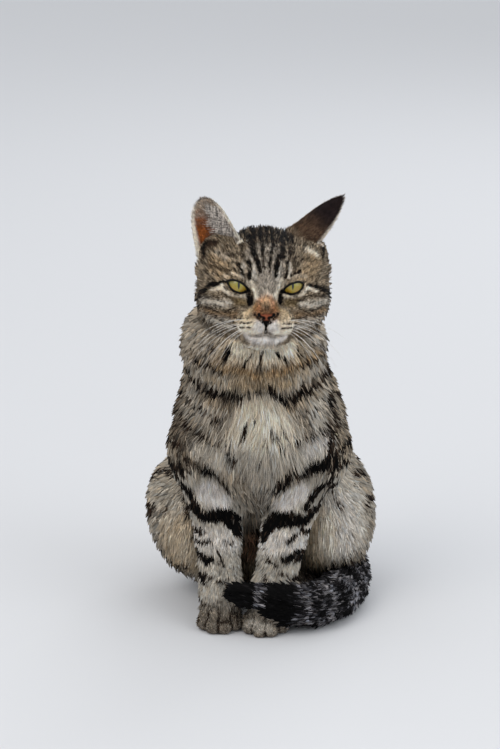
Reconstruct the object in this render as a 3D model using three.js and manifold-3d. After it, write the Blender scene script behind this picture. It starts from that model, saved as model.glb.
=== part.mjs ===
// A still, life-size model of a brown tabby cat that sits upright on the floor, with its tail
// brought round its left side and laid over its forepaws. Every solid reaches out to the tips
// of the coat.
//
// Millimetres, +Z up, floor at Z = 0. The cat faces -Y, and +X is its own left side. The origin
// ends up under the middle of the model, at floor level.
import * as THREE from "three";
import { mergeVertices } from "three/addons/utils/BufferGeometryUtils.js";
import Module from "manifold-3d";

const wasm = await Module();
wasm.setup();

// ---------------------------------------------------------------- driving sizes
const GAP = 0.3; // clear space left between neighbouring solids
const HEAD_Z = 301; // height of the middle of the head
const CHEEK_HALF_WIDTH = 57; // from the head's middle to the tips of the cheek coat
const EYE_RADIUS = 10.3;
const EYE_SPACING = 45; // between the middles of the two eyes
const EAR_THICKNESS = 3.4;
const TAIL_RADIUS = 19.5;
const PAW_WIDTH = 33;
const SHOULDER_Z = 148;
const HAUNCH_Z = 71;

const HEAD_MIDDLE = new THREE.Vector3(1, -66, HEAD_Z);
const HEAD_TURN = { up: 8, left: 2.5, roll: 1.2 }; // degrees: raised, turned to its left, tipped to its left

const COAT = {
  body: { color: 0x7d7263, roughness: 0.85, metalness: 0 },
  pale: { color: 0xb9ab97, roughness: 0.85, metalness: 0 },
  dark: { color: 0x3a3531, roughness: 0.85, metalness: 0 },
  nose: { color: 0x9c5340, roughness: 0.5, metalness: 0 },
  eye: { color: 0x9a9a3c, roughness: 0.15, metalness: 0 },
};

const point = (x, y, z) => new THREE.Vector3(x, y, z);
const rad = THREE.MathUtils.degToRad;

// ---------------------------------------------------------------- fields
// A field gives the distance from a place to a surface, in millimetres, negative inside.

function ellipsoid(middle, radii, turn = new THREE.Euler()) {
  const back = new THREE.Quaternion().setFromEuler(turn).invert();
  const local = new THREE.Vector3();
  const least = Math.min(...radii);
  return (p) => {
    local.subVectors(p, middle).applyQuaternion(back);
    const near = Math.hypot(local.x / radii[0], local.y / radii[1], local.z / radii[2]);
    const steep = Math.hypot(local.x / radii[0] ** 2, local.y / radii[1] ** 2, local.z / radii[2] ** 2);
    return steep > 1e-6 ? (near * (near - 1)) / steep : -least;
  };
}

// A limb segment: two balls of different size and the cone between them.
function limb(start, startRadius, end, endRadius) {
  const along = new THREE.Vector3().subVectors(end, start);
  const length2 = along.lengthSq();
  const shrink = startRadius - endRadius;
  const flank2 = length2 - shrink * shrink;
  const away = new THREE.Vector3();
  const side = new THREE.Vector3();
  return (p) => {
    away.subVectors(p, start);
    const y = away.dot(along);
    const z = y - length2;
    const x2 = side.copy(away).multiplyScalar(length2).addScaledVector(along, -y).lengthSq();
    const y2 = y * y * length2;
    const z2 = z * z * length2;
    const k = Math.sign(shrink) * shrink * shrink * x2;
    if (Math.sign(z) * flank2 * z2 > k) return Math.sqrt(x2 + z2) / length2 - endRadius;
    if (Math.sign(y) * flank2 * y2 < k) return Math.sqrt(x2 + y2) / length2 - startRadius;
    return (Math.sqrt((x2 * flank2) / length2) + y * shrink) / length2 - startRadius;
  };
}

// Fields melted into one, with fillets about `fillet` wide.
function melt(fillet, ...fields) {
  return (p) =>
    fields.reduce((sum, field) => {
      const d = field(p);
      const h = Math.max(fillet - Math.abs(sum - d), 0) / fillet;
      return Math.min(sum, d) - (h * h * fillet) / 4;
    }, 1e3);
}

// A field with a softly rounded hollow pressed into it.
function dent(fillet, field, hollow) {
  return (p) => {
    const a = field(p);
    const b = -hollow(p);
    const h = Math.max(fillet - Math.abs(a - b), 0) / fillet;
    return Math.max(a, b) + (h * h * fillet) / 4;
  };
}

// ---------------------------------------------------------------- closed surfaces along a path

function curveThrough(...places) {
  return new THREE.CatmullRomCurve3(places, false, "centripetal");
}

// Splits each four-sided patch of a sphere's grid along its shorter diagonal.
function splitShorter(geometry, around, along) {
  const places = geometry.attributes.position;
  const at = (i) => new THREE.Vector3().fromBufferAttribute(places, i);
  const index = [];
  for (let row = 0; row < along; row++) {
    for (let column = 0; column < around; column++) {
      const b = row * (around + 1) + column;
      const c = b + around + 1;
      const [a, d] = [b + 1, c + 1];
      if (row === 0) index.push(b, c, d);
      else if (row === along - 1) index.push(a, b, d);
      else if (at(a).distanceTo(at(c)) < at(b).distanceTo(at(d))) index.push(a, b, c, a, c, d);
      else index.push(a, b, d, b, c, d);
    }
  }
  return geometry.setIndex(index);
}

// A closed mesh with rings along a path. `reach` gives how far it goes from a place on the path
// in a direction. Each end is a dome, or a flat disc where the solid is parted from its
// neighbour.
function skinAlong(path, reach, options) {
  const { around, along, dome, flatStart = false, flatEnd = false, from = 0, to = 1 } = options;
  const geometry = new THREE.SphereGeometry(1, around, along);
  const places = geometry.attributes.position;
  const uv = geometry.attributes.uv;
  const reference = Math.abs(path.getTangent(0.5).z) > 0.7 ? point(0, 1, 0) : point(0, 0, 1);
  for (let i = 0; i < places.count; i++) {
    const row = uv.getY(i); // 1 at the path's end, 0 at its start
    const spin = Math.round(uv.getX(i) * around * 2) * (Math.PI / around);
    const capped = row < dome ? row / dome : row > 1 - dome ? (1 - row) / dome : 1;
    const share = THREE.MathUtils.clamp((row - dome) / (1 - 2 * dome), 0, 1);
    const t = THREE.MathUtils.lerp(from, to, share);
    const origin = path.getPoint(t);
    const forward = path.getTangent(t);
    const side = new THREE.Vector3().crossVectors(forward, reference).normalize();
    const above = new THREE.Vector3().crossVectors(side, forward);
    const radial = side.multiplyScalar(-Math.cos(spin)).addScaledVector(above, Math.sin(spin));
    const tilt = (capped * Math.PI) / 2;
    const flat = (row < dome && flatStart) || (row > 1 - dome && flatEnd);
    const axial = flat || capped === 1 ? 0 : Math.cos(tilt) * (row < 0.5 ? -1 : 1);
    const outward = radial.clone().multiplyScalar(flat ? 1 : Math.sin(tilt));
    const direction = outward.addScaledVector(forward, axial);
    const length = reach(origin, direction, t) * (flat ? capped : 1);
    const made = origin.addScaledVector(direction, length);
    places.setXYZ(i, made.x, made.y, made.z);
  }
  return splitShorter(geometry, around, along);
}

// How far a field's surface lies from an inner place, in a direction.
function reachOf(field, grow) {
  const place = new THREE.Vector3();
  return (origin, direction) => {
    let length = 0;
    for (let step = 0; step < 400; step++) {
      const d = field(place.copy(origin).addScaledVector(direction, length)) - grow;
      length -= 0.7 * d;
      if (Math.abs(d) < 1e-4) break;
    }
    return Math.max(length, 0.2);
  };
}

// ---------------------------------------------------------------- solids

function solid(geometry) {
  const bare = new THREE.BufferGeometry()
    .setAttribute("position", geometry.getAttribute("position"))
    .setIndex(geometry.index);
  const merged = mergeVertices(bare, 1e-3);
  const triVerts = new Uint32Array(merged.index.array);
  const kept = [];
  for (let i = 0; i < triVerts.length; i += 3) {
    const [a, b, c] = triVerts.subarray(i, i + 3);
    if (a !== b && b !== c && a !== c) kept.push(a, b, c);
  }
  return new wasm.Manifold(
    new wasm.Mesh({
      numProp: 3,
      vertProperties: new Float32Array(merged.attributes.position.array),
      triVerts: new Uint32Array(kept),
    }),
  );
}

function geometryOf(manifold) {
  const { numProp, vertProperties, triVerts } = manifold.getMesh();
  const places = new Float32Array((vertProperties.length / numProp) * 3);
  for (let i = 0; i < places.length / 3; i++)
    places.set(vertProperties.subarray(i * numProp, i * numProp + 3), i * 3);
  return new THREE.BufferGeometry()
    .setAttribute("position", new THREE.BufferAttribute(places, 3))
    .setIndex(new THREE.BufferAttribute(new Uint32Array(triVerts), 1));
}

const under = solid(new THREE.BoxGeometry(600, 600, 100).translate(0, 0, -50));

// ---------------------------------------------------------------- head

const headTurn = new THREE.Euler(rad(-HEAD_TURN.up), rad(HEAD_TURN.roll), rad(HEAD_TURN.left), "ZYX");
const headPlace = new THREE.Matrix4().compose(
  HEAD_MIDDLE,
  new THREE.Quaternion().setFromEuler(headTurn),
  point(1, 1, 1),
);
const intoHead = headPlace.clone().invert();
const onHead = (x, y, z) => point(x, y, z).applyMatrix4(headPlace);

// A field written in the head's own axes: x to its left, -y out through the nose, z up.
function headField(field) {
  const local = new THREE.Vector3();
  return (p) => field(local.copy(p).applyMatrix4(intoHead));
}

const both = (make) => [make(-1), make(1)];
const eyeLocal = (side) => point((side * EYE_SPACING) / 2, -30, 4);
const noseLocal = point(0, -57, -19);

function headShape() {
  const cranium = ellipsoid(point(0, 8, 13), [46, 44, 37]);
  const brow = ellipsoid(point(0, -21, 16), [32, 24, 20]);
  const cheeks = both((s) => ellipsoid(point(s * (CHEEK_HALF_WIDTH - 27), 2, -5), [27, 34, 37]));
  const earRoots = both((s) => ellipsoid(point(s * 38, 9, 26), [16, 15, 17]));
  const cheekbones = both((s) => ellipsoid(point(s * 24, -23, -12), [19, 17, 13]));
  const jaw = ellipsoid(point(0, -14, -24), [34, 35, 18]);
  const bridge = limb(point(0, -34, 6), 12, point(0, -51, -13), 8.5);
  const pads = both((s) => ellipsoid(point(s * 9, -46, -23.5), [12.5, 14, 11]));
  const chin = ellipsoid(point(0, -41, -33), [12, 13, 10]);
  const skull = melt(14, cranium, brow, ...cheeks, ...earRoots, jaw);
  const face = melt(7, skull, ...cheekbones, bridge, ...pads, chin);
  const orbits = both((s) => ellipsoid(eyeLocal(s).add(point(s * 2, -19, 0)), [12, 12, 8]));
  return orbits.reduce((shape, hollow) => dent(10, shape, hollow), face);
}

const headSurface = headField(headShape());

function headSolid(grow = 0) {
  const path = curveThrough(onHead(0, 14, 8), onHead(0, -6, 2), onHead(0, -27, -10));
  return solid(skinAlong(path, reachOf(headSurface, grow), { around: 32, along: 28, dome: 0.36 }));
}

function eyeSolid(side, grow = 0) {
  const middle = eyeLocal(side).applyMatrix4(headPlace);
  const ball = new THREE.SphereGeometry(EYE_RADIUS + grow, 12, 8).rotateX(Math.PI / 2);
  return solid(ball.translate(middle.x, middle.y, middle.z));
}

// The nose leather: a rounded wedge, broad above and pointed below.
function noseSolid(grow = 0) {
  const width = 7;
  const height = 5;
  const depth = 5;
  const ball = new THREE.SphereGeometry(1, 10, 6);
  const places = ball.attributes.position;
  for (let i = 0; i < places.count; i++) {
    const p = new THREE.Vector3().fromBufferAttribute(places, i);
    const taper = 0.62 + 0.38 * THREE.MathUtils.clamp(p.z + 0.4, -1, 1);
    const made = point(p.x * (width * taper + grow), p.y * (depth + grow), p.z * (height + grow));
    made.add(noseLocal).applyMatrix4(headPlace);
    places.setXYZ(i, made.x, made.y, made.z);
  }
  return solid(ball);
}

// ---------------------------------------------------------------- ears

// An ear is a cupped leaf, widest at its root. `opening` is where its hollow faces, `width` is
// measured round the cup, which goes from the radius `rootCup` to `tipCup`, and a higher
// `sharpness` gives a more pointed tip.
function earSolid({ base, tip, opening, width, rootCup, tipCup, sharpness }) {
  const leaf = new THREE.SphereGeometry(1, 12, 9);
  const places = leaf.attributes.position;
  const height = tip.distanceTo(base);
  const up = new THREE.Vector3().subVectors(tip, base).normalize();
  const front = opening.clone().addScaledVector(up, -opening.dot(up)).normalize();
  const side = new THREE.Vector3().crossVectors(up, front);
  for (let i = 0; i < places.count; i++) {
    const p = new THREE.Vector3().fromBufferAttribute(places, i);
    const ring = Math.max(Math.hypot(p.x, p.z), 1e-6);
    const rise = 1 - Math.acos(THREE.MathUtils.clamp(p.y, -1, 1)) / Math.PI;
    const outline = Math.max(1 - rise * rise, 0) ** (sharpness / 2);
    const closing = THREE.MathUtils.smoothstep(rise, 0, 0.1);
    const radius = THREE.MathUtils.lerp(rootCup, tipCup, rise);
    const edge = (width * outline) / (2 * radius);
    const bend = (p.x / ring) * edge * closing;
    const shell = (p.z / ring) * (EAR_THICKNESS / 2) * Math.min(outline * 1.4, 1) * closing;
    const made = base.clone().addScaledVector(up, rise * height);
    made.addScaledVector(side, Math.sin(bend) * (radius - shell));
    made.addScaledVector(front, ((1 + Math.cos(edge)) * radius) / 2 - Math.cos(bend) * (radius - shell));
    places.setXYZ(i, made.x, made.y, made.z);
  }
  return solid(leaf);
}

const ears = {
  right: {
    base: onHead(-32, 4, 25),
    tip: onHead(-53, 3, 74),
    opening: point(-0.42, -0.9, 0),
    width: 52,
    rootCup: 24,
    tipCup: 24,
    sharpness: 1.15,
  },
  left: {
    base: onHead(24, 3, 34.5),
    tip: onHead(68, 13, 77),
    opening: point(0.42, 0.82, -0.4),
    width: 37,
    rootCup: 17,
    tipCup: 15,
    sharpness: 1.6,
  },
};

// ---------------------------------------------------------------- neck and trunk

const torsoSurface = melt(
  20,
  ellipsoid(point(8, 58, 54), [64, 60, 57]),
  ellipsoid(point(0, 30, 104), [73, 68, 62]),
  ellipsoid(point(-2, -4, 152), [69, 72, 60]),
  ellipsoid(point(-1, -20, 185), [66, 62, 46]),
  ellipsoid(point(-5, -46, 156), [34, 34, 46]),
  limb(point(-4, -27, 200), 59, point(-7, -38, 236), 57),
  ellipsoid(point(-7, -46, 250), [57, 46, 34]),
);

// Trunk and neck grow as one body and are parted by a sloping cut.
const NECK_CUT = { middle: point(-4, -26, 208), slope: 24 };

function torsoSolid() {
  const spine = curveThrough(
    point(7, 56, 50),
    point(2, 26, 104),
    point(-3, -12, 160),
    point(-5, -34, 216),
    point(-3, -44, 258),
  );
  return solid(skinAlong(spine, reachOf(torsoSurface, 0), { around: 22, along: 24, dome: 0.2 }));
}

// A block that reaches from the cut upwards (sign 1) or downwards (sign -1), half a gap short of it.
function beyondNeckCut(sign) {
  const block = new THREE.BoxGeometry(400, 400, 300).translate(0, 0, sign * (150 + GAP / 2));
  const { middle, slope } = NECK_CUT;
  return solid(block.rotateX(rad(slope)).translate(middle.x, middle.y, middle.z));
}

// ---------------------------------------------------------------- forelegs

const forelegs = {
  right: {
    shoulder: point(-50, -28, SHOULDER_Z),
    elbow: point(-40, -38, 106),
    wrist: point(-35, -66, 30),
    paw: point(-36, -75, 11),
  },
  left: {
    shoulder: point(46, -28, SHOULDER_Z),
    elbow: point(26, -40, 106),
    wrist: point(9, -74, 30),
    paw: point(2, -83, 11),
  },
};

function forelegSurface({ shoulder, elbow, wrist, paw }) {
  return melt(
    12,
    ellipsoid(shoulder, [28, 40, 38]),
    limb(shoulder, 26, elbow, 22),
    limb(elbow, 22, wrist, 16.5),
    limb(wrist, 16, paw, 12),
  );
}

function forelegSolid(leg, grow = 0) {
  const path = curveThrough(leg.shoulder, leg.elbow, leg.wrist, leg.paw);
  return solid(skinAlong(path, reachOf(forelegSurface(leg), grow), { around: 12, along: 13, dome: 0.22 }));
}

// A paw: the palm and four toes side by side, the middle pair further forward.
function pawSurface(middle, heading, width, length) {
  const out = point(Math.sin(heading), -Math.cos(heading), 0);
  const across = point(Math.cos(heading), Math.sin(heading), 0);
  const toeRadius = width / 5.1;
  const toes = [-1.5, -0.5, 0.5, 1.5].map((step) => {
    const forward = length * (Math.abs(step) > 1 ? 0.3 : 0.46);
    const toe = middle.clone().addScaledVector(across, step * toeRadius * 1.25).addScaledVector(out, forward);
    const knuckle = toe.clone().addScaledVector(out, -toeRadius * 1.5);
    toe.z = toeRadius * 0.92;
    knuckle.z = toeRadius * 1.9;
    return limb(knuckle, toeRadius, toe, toeRadius * 1.02);
  });
  const palmMiddle = middle.clone().addScaledVector(out, -length * 0.04);
  const palm = ellipsoid(palmMiddle, [width * 0.47, length * 0.46, 14]);
  return melt(2.2, palm, ...toes);
}

function pawSolid(leg, heading, grow = 0) {
  const surface = pawSurface(leg.paw, heading, PAW_WIDTH, 36);
  const back = leg.paw.clone().add(point(0, 8, 1));
  const front = leg.paw.clone().add(point(Math.sin(heading) * 11, -11, -1));
  const path = curveThrough(back, front);
  return solid(skinAlong(path, reachOf(surface, grow), { around: 18, along: 10, dome: 0.4 }));
}

// ---------------------------------------------------------------- haunches and hind feet

// The cat leans a little to its left, so its left haunch is the wider and higher one.
const haunch = (side) => ({
  hip: point(side * 51, 56, HAUNCH_Z + 10),
  hock: point(side * 44, 62, 13.6),
  toes: point(side * 34 - 2, -34, 11),
  ...(side < 0
    ? { middle: point(-64, 30, 65.5), radii: [34, 56, 54], tilt: -18, knee: point(-60.5, -4, 76), kneeRadius: 24.5 }
    : { middle: point(62, 30, 79), radii: [36, 59, 57], tilt: -8, knee: point(57, -4, 59), kneeRadius: 30 }),
});

function thighSurface(side) {
  const { hip, knee, kneeRadius, middle, radii, tilt } = haunch(side);
  const bulk = ellipsoid(middle, radii, new THREE.Euler(0, rad(tilt), rad(side * 6)));
  return melt(16, bulk, limb(hip, 43, knee, kneeRadius));
}

function thighSolid(side, grow = 0) {
  const { z } = haunch(side).middle;
  const path = curveThrough(point(side * 56, 52, z + 4), point(side * 58, 4, z - 2));
  return solid(skinAlong(path, reachOf(thighSurface(side), grow), { around: 13, along: 12, dome: 0.36 }));
}

function hindFootSolid(side, grow = 0) {
  const { hock, toes } = haunch(side);
  const foot = melt(6, limb(hock, 14, toes, 11.5), pawSurface(toes, 0, 30, 34));
  const path = curveThrough(hock, hock.clone().lerp(toes, 0.5), toes);
  return solid(skinAlong(path, reachOf(foot, grow), { around: 9, along: 12, dome: 0.22 }));
}

// ---------------------------------------------------------------- tail

const tailPath = curveThrough(
  point(6, 104, 30),
  point(36, 112, 19),
  point(65, 92, 17),
  point(77, 55, 17),
  point(78, 14, 17),
  point(72, -26, 18),
  point(54, -65, 18.5),
  point(27, -89, 22),
  point(2, -96, 29),
  point(-20, -94, 32.5),
);
const TAIL_CUTS = [0, 0.27, 0.52, 0.76, 1];
const tailRadius = (t) => {
  const { smoothstep } = THREE.MathUtils;
  return TAIL_RADIUS * (0.88 + 0.12 * smoothstep(t, 0.3, 0.55) - 0.32 * smoothstep(t, 0.66, 0.88));
};

function tailSolid(index, grow = 0) {
  const last = TAIL_CUTS.length - 2;
  const step = (GAP / 2 - grow) / tailPath.getLength();
  const from = TAIL_CUTS[index] + (index > 0 ? step : 0);
  const to = TAIL_CUTS[index + 1] - (index < last ? step : 0);
  const reach = (origin, direction, t) => tailRadius(t) + grow;
  const ends = { flatStart: index > 0, flatEnd: index < last, from, to };
  const rounding = index === last ? { along: 12, dome: 0.27 } : { along: 8, dome: 0.16 };
  return solid(skinAlong(tailPath, reach, { around: 10, ...rounding, ...ends }));
}

// ---------------------------------------------------------------- fitting the solids to each other

const pieces = new Map();
const keep = (name, manifold, coat) => pieces.set(name, { manifold: manifold.subtract(under), coat });
const without = (body, ...others) => others.reduce((rest, other) => rest.subtract(other), body);

const TAIL_LENGTHS = [0, 1, 2, 3];
const tailGrown = TAIL_LENGTHS.map((i) => tailSolid(i, GAP));
const eyesGrown = both((s) => eyeSolid(s, GAP));
const headGrown = headSolid(GAP);
const torso = without(torsoSolid(), headGrown);
const sides = [
  { name: "right", sign: -1, leg: forelegs.right, ear: ears.right, heading: rad(-4) },
  { name: "left", sign: 1, leg: forelegs.left, ear: ears.left, heading: rad(3) },
];
const pawsGrown = sides.map(({ leg, heading }) => pawSolid(leg, heading, GAP));
const forelegsGrown = sides.map(({ leg }) => forelegSolid(leg, GAP));
const feetGrown = sides.map(({ sign }) => hindFootSolid(sign, GAP));
const thighsGrown = sides.map(({ sign }) => thighSolid(sign, GAP));

keep("head", without(headSolid(), ...eyesGrown, noseSolid(GAP)), COAT.body);
keep("nose", noseSolid(), COAT.nose);
keep("neck", torso.intersect(beyondNeckCut(1)), COAT.body);
const limbsGrown = [...forelegsGrown, ...thighsGrown, ...feetGrown, ...pawsGrown];
keep("trunk", without(torso.intersect(beyondNeckCut(-1)), ...limbsGrown, ...tailGrown), COAT.body);
sides.forEach(({ name, sign, leg, ear, heading }, i) => {
  keep(`eye_${name}`, eyeSolid(sign), COAT.eye);
  keep(`ear_${name}`, without(earSolid(ear), headGrown), COAT.dark);
  keep(`foreleg_${name}`, without(forelegSolid(leg), pawsGrown[i], ...tailGrown), COAT.pale);
  keep(`forepaw_${name}`, without(pawSolid(leg, heading), ...tailGrown), COAT.pale);
  const besideThigh = [forelegsGrown[i], feetGrown[i], ...tailGrown];
  keep(`thigh_${name}`, without(thighSolid(sign), ...besideThigh), COAT.body);
  const besideFoot = [forelegsGrown[i], pawsGrown[i], ...tailGrown];
  keep(`hind_foot_${name}`, without(hindFootSolid(sign), ...besideFoot), COAT.pale);
});
TAIL_LENGTHS.forEach((i) => keep(`tail_${i + 1}`, tailSolid(i), COAT.dark));

// ---------------------------------------------------------------- the model

const cat = new THREE.Group();
for (const [name, { manifold, coat }] of pieces) {
  const mesh = new THREE.Mesh(geometryOf(manifold), new THREE.MeshStandardMaterial(coat));
  mesh.name = name;
  cat.add(mesh);
}
const box = new THREE.Box3().setFromObject(cat);
cat.position.set(-(box.min.x + box.max.x) / 2, -(box.min.y + box.max.y) / 2, 0);

export default cat;
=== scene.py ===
"""A life-size still model of a brown tabby cat that sits upright, with its tail laid over its forepaws."""

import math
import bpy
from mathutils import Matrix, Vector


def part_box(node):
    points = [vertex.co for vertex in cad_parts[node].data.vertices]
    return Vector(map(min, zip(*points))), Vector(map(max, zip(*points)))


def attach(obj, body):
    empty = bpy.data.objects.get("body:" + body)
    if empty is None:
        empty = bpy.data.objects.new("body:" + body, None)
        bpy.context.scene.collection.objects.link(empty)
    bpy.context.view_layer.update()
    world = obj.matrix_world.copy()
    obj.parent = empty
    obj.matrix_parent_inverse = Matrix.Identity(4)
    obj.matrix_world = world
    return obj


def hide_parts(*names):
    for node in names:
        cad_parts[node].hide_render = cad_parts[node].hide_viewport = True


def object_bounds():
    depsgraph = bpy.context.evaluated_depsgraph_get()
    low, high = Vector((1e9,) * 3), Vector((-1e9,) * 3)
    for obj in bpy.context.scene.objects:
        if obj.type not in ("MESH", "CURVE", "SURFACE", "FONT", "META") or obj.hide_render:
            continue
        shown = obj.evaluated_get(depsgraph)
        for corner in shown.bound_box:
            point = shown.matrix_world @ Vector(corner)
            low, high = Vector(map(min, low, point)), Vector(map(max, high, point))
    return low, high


bl_info = {
    "name": "Sitting Tabby Cat",
    "version": (1, 0, 0),
    "blender": (4, 5, 0),
    "location": "3D View > Sidebar > Cat",
    "description": "Builds the skin, coat, eyes, nose, whiskers and stage of a sitting tabby cat",
    "category": "Object",
}

import bpy
import numpy as np
import openvdb
from bpy.props import FloatProperty, FloatVectorProperty, IntProperty, PointerProperty

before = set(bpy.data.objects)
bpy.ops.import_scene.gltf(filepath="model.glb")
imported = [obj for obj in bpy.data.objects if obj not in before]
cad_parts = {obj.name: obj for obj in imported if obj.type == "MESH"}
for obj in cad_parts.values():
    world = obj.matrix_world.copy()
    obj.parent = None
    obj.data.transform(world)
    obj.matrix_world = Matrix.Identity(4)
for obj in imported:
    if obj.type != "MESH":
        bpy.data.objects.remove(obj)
CAD_BOX = [list(corner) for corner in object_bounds()]

MM = 0.001  # shapes are worked out in millimetres and made in metres
FAR = 60.0  # the distance given to places well away from a shape
SIDES = {"right": -1, "left": 1}


# ---------------------------------------------------------------- small tools


def vec(*numbers):
    return np.array(numbers, float)


def unit(v):
    return v / np.maximum(np.linalg.norm(v, axis=-1, keepdims=True), 1e-9)


def smooth(value, low=0.0, high=1.0):
    t = np.clip((value - low) / (high - low), 0, 1)
    return t * t * (3 - 2 * t)


def mix(a, b, share):
    return a + (b - a) * share


def turn(axis, degrees):
    """A turn about one axis, as a matrix."""
    c, s = math.cos(math.radians(degrees)), math.sin(math.radians(degrees))
    i, j = [k for k in range(3) if k != "xyz".index(axis)]
    m = np.eye(3)
    m[i, i] = m[j, j] = c
    sign = -1 if axis == "y" else 1
    m[i, j], m[j, i] = -s * sign, s * sign
    return m


def linear(colour):
    """A display colour as the light it stands for."""
    c = np.asarray(colour, float)
    return np.where(c <= 0.04045, c / 12.92, ((c + 0.055) / 1.055) ** 2.4)


def ripple(p, size, seed):
    """Smooth noise of about -1 to 1 whose bumps are roughly `size` across."""
    rng = np.random.default_rng(seed)
    total = np.zeros(len(p))
    for _ in range(8):
        wave = unit(rng.normal(size=3)) * (2 * math.pi / size) * rng.uniform(0.35, 1.0)
        total += np.sin(p @ wave + rng.uniform(0, 2 * math.pi))
    return total / 3.2


def drift(p, size, seed):
    """A smooth shift of each place, made of three ripples."""
    return np.stack([ripple(p, size, seed + i) for i in range(3)], 1)


def mirrored(p, side):
    """Places of the left side on the side that -1 or 1 stands for."""
    return p * [side, 1, 1]


def fold(p):
    """Both sides laid on the left one."""
    return np.abs(p[:, :1]) * [1, 0, 0] + p * [0, 1, 1]


def side_of(name):
    """-1 for what belongs to the right side and 1 for all else."""
    return -1 if name.endswith("right") else 1


def middle_of(node):
    low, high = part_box(node)
    return (vec(*low) + vec(*high)) / 2 / MM


# ---------------------------------------------------------------- places

EYE_RADIUS = 10.3
EYE = vec(22.5, -30, 4)  # the left eye's middle in the head's own axes
NOSE = vec(0, -57, -19)
HEAD_TURN = turn("z", 2.5) @ turn("y", 1.2) @ turn("x", -8)
HEAD_MIDDLE = (middle_of("eye_right") + middle_of("eye_left")) / 2 - HEAD_TURN @ (EYE * [0, 1, 1])
HOME = HEAD_MIDDLE - vec(1, -66, 301)  # the floor point from which the body's places are measured
EAR_ROOT = vec(40, 4, 36)  # the left one, in the head's own axes


def to_head(p):
    """Places in the head's own axes: x to its left, -y out through the nose, z up."""
    return (p - HEAD_MIDDLE) @ HEAD_TURN


def from_head(q):
    return q @ HEAD_TURN.T + HEAD_MIDDLE


# ---------------------------------------------------------------- fields
# A field gives the distance from each place to a surface, in millimetres, negative inside.


def ellipsoid(p, middle, radii, turned=None):
    local = p - middle
    if turned is not None:
        local = local @ turned
    radii = np.asarray(radii, float)
    near = np.linalg.norm(local / radii, axis=1)
    steep = np.linalg.norm(local / radii**2, axis=1)
    return near * (near - 1) / np.maximum(steep, 1e-6)


def limb(p, start, start_radius, end, end_radius):
    """Two balls of different size and the cone between them."""
    start, end = np.asarray(start, float), np.asarray(end, float)
    along = end - start
    length2 = along @ along
    shrink = start_radius - end_radius
    flank2 = length2 - shrink * shrink
    away = p - start
    y = away @ along
    z = y - length2
    x2 = ((away * length2 - y[:, None] * along) ** 2).sum(1)
    y2, z2 = y * y * length2, z * z * length2
    k = np.sign(shrink) * shrink * shrink * x2
    tip = np.sqrt(x2 + z2) / length2 - end_radius
    root = np.sqrt(x2 + y2) / length2 - start_radius
    flank = (np.sqrt(x2 * flank2 / length2) + y * shrink) / length2 - start_radius
    return np.where(np.sign(z) * flank2 * z2 > k, tip, np.where(np.sign(y) * flank2 * y2 < k, root, flank))


def melt(fillet, *fields):
    """Fields joined into one, with fillets about `fillet` wide."""
    total = fields[0]
    for d in fields[1:]:
        h = np.maximum(fillet - np.abs(total - d), 0) / fillet
        total = np.minimum(total, d) - h * h * fillet / 4
    return total


def dent(fillet, field, hollow):
    """A field with a softly rounded hollow pressed into it."""
    h = np.maximum(fillet - np.abs(field + hollow), 0) / fillet
    return np.maximum(field, -hollow) + h * h * fillet / 4


def near(p, low, high, field, margin=22):
    """A field worked out only inside a box, to save time."""
    inside = ((p > np.asarray(low) - margin) & (p < np.asarray(high) + margin)).all(1)
    result = np.full(len(p), FAR)
    if inside.any():
        result[inside] = field(p[inside])
    return result


# ---------------------------------------------------------------- head

LID = 1.1  # how far the lids stand out from the eyeball
CORNEA = 0.9  # how far the cornea bulges from the eyeball
EYE_SLANT = {"right": 22.5, "left": 18.5}  # degrees: the outer corner is higher
EYE_WIDTH, EYE_ABOVE, EYE_BELOW = 9.5, 3.5, 4.4  # half width, and heights over and under the corners' line
BEFORE_EYES = -24  # the eyes' openings lie in front of this, in the head's axes
ALMOND_MIDDLE = {"right": (0.6, 0, -0.3), "left": (0.6, 0, -1.2)}  # from the eyeball's middle, x outwards


def almond(q):
    """Places in the head's axes as shares along the nearer eye's slit, and heights over it."""
    share, height = np.empty(len(q)), np.empty(len(q))
    for name, side in SIDES.items():
        here = (q[:, 0] < 0) == (side < 0)
        r = mirrored(q[here], side) - EYE - ALMOND_MIDDLE[name]
        slant = math.radians(EYE_SLANT[name])
        share[here] = (r[:, 0] * math.cos(slant) + r[:, 2] * math.sin(slant)) / EYE_WIDTH
        height[here] = r[:, 2] * math.cos(slant) - r[:, 0] * math.sin(slant)
    return share, height


def lid_edge(share):
    """Heights of the upper and the lower lid's edge at a share of the slit."""
    skewed = share - 0.16 * (1 - share**2)
    return EYE_ABOVE * (1 - np.abs(skewed) ** 2.5), -EYE_BELOW * (1 - np.abs(share) ** 2.4)


def past_lids(q):
    """How far each place lies past the edge of the nearer eye's lids, negative between them."""
    share, height = almond(q)
    above, below = lid_edge(share)
    return np.maximum(height - above, below - height)


def slit(q):
    """The field of the eyes' openings."""
    return np.maximum(past_lids(q), q[:, 1] - EYE[1] + 1)


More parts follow.
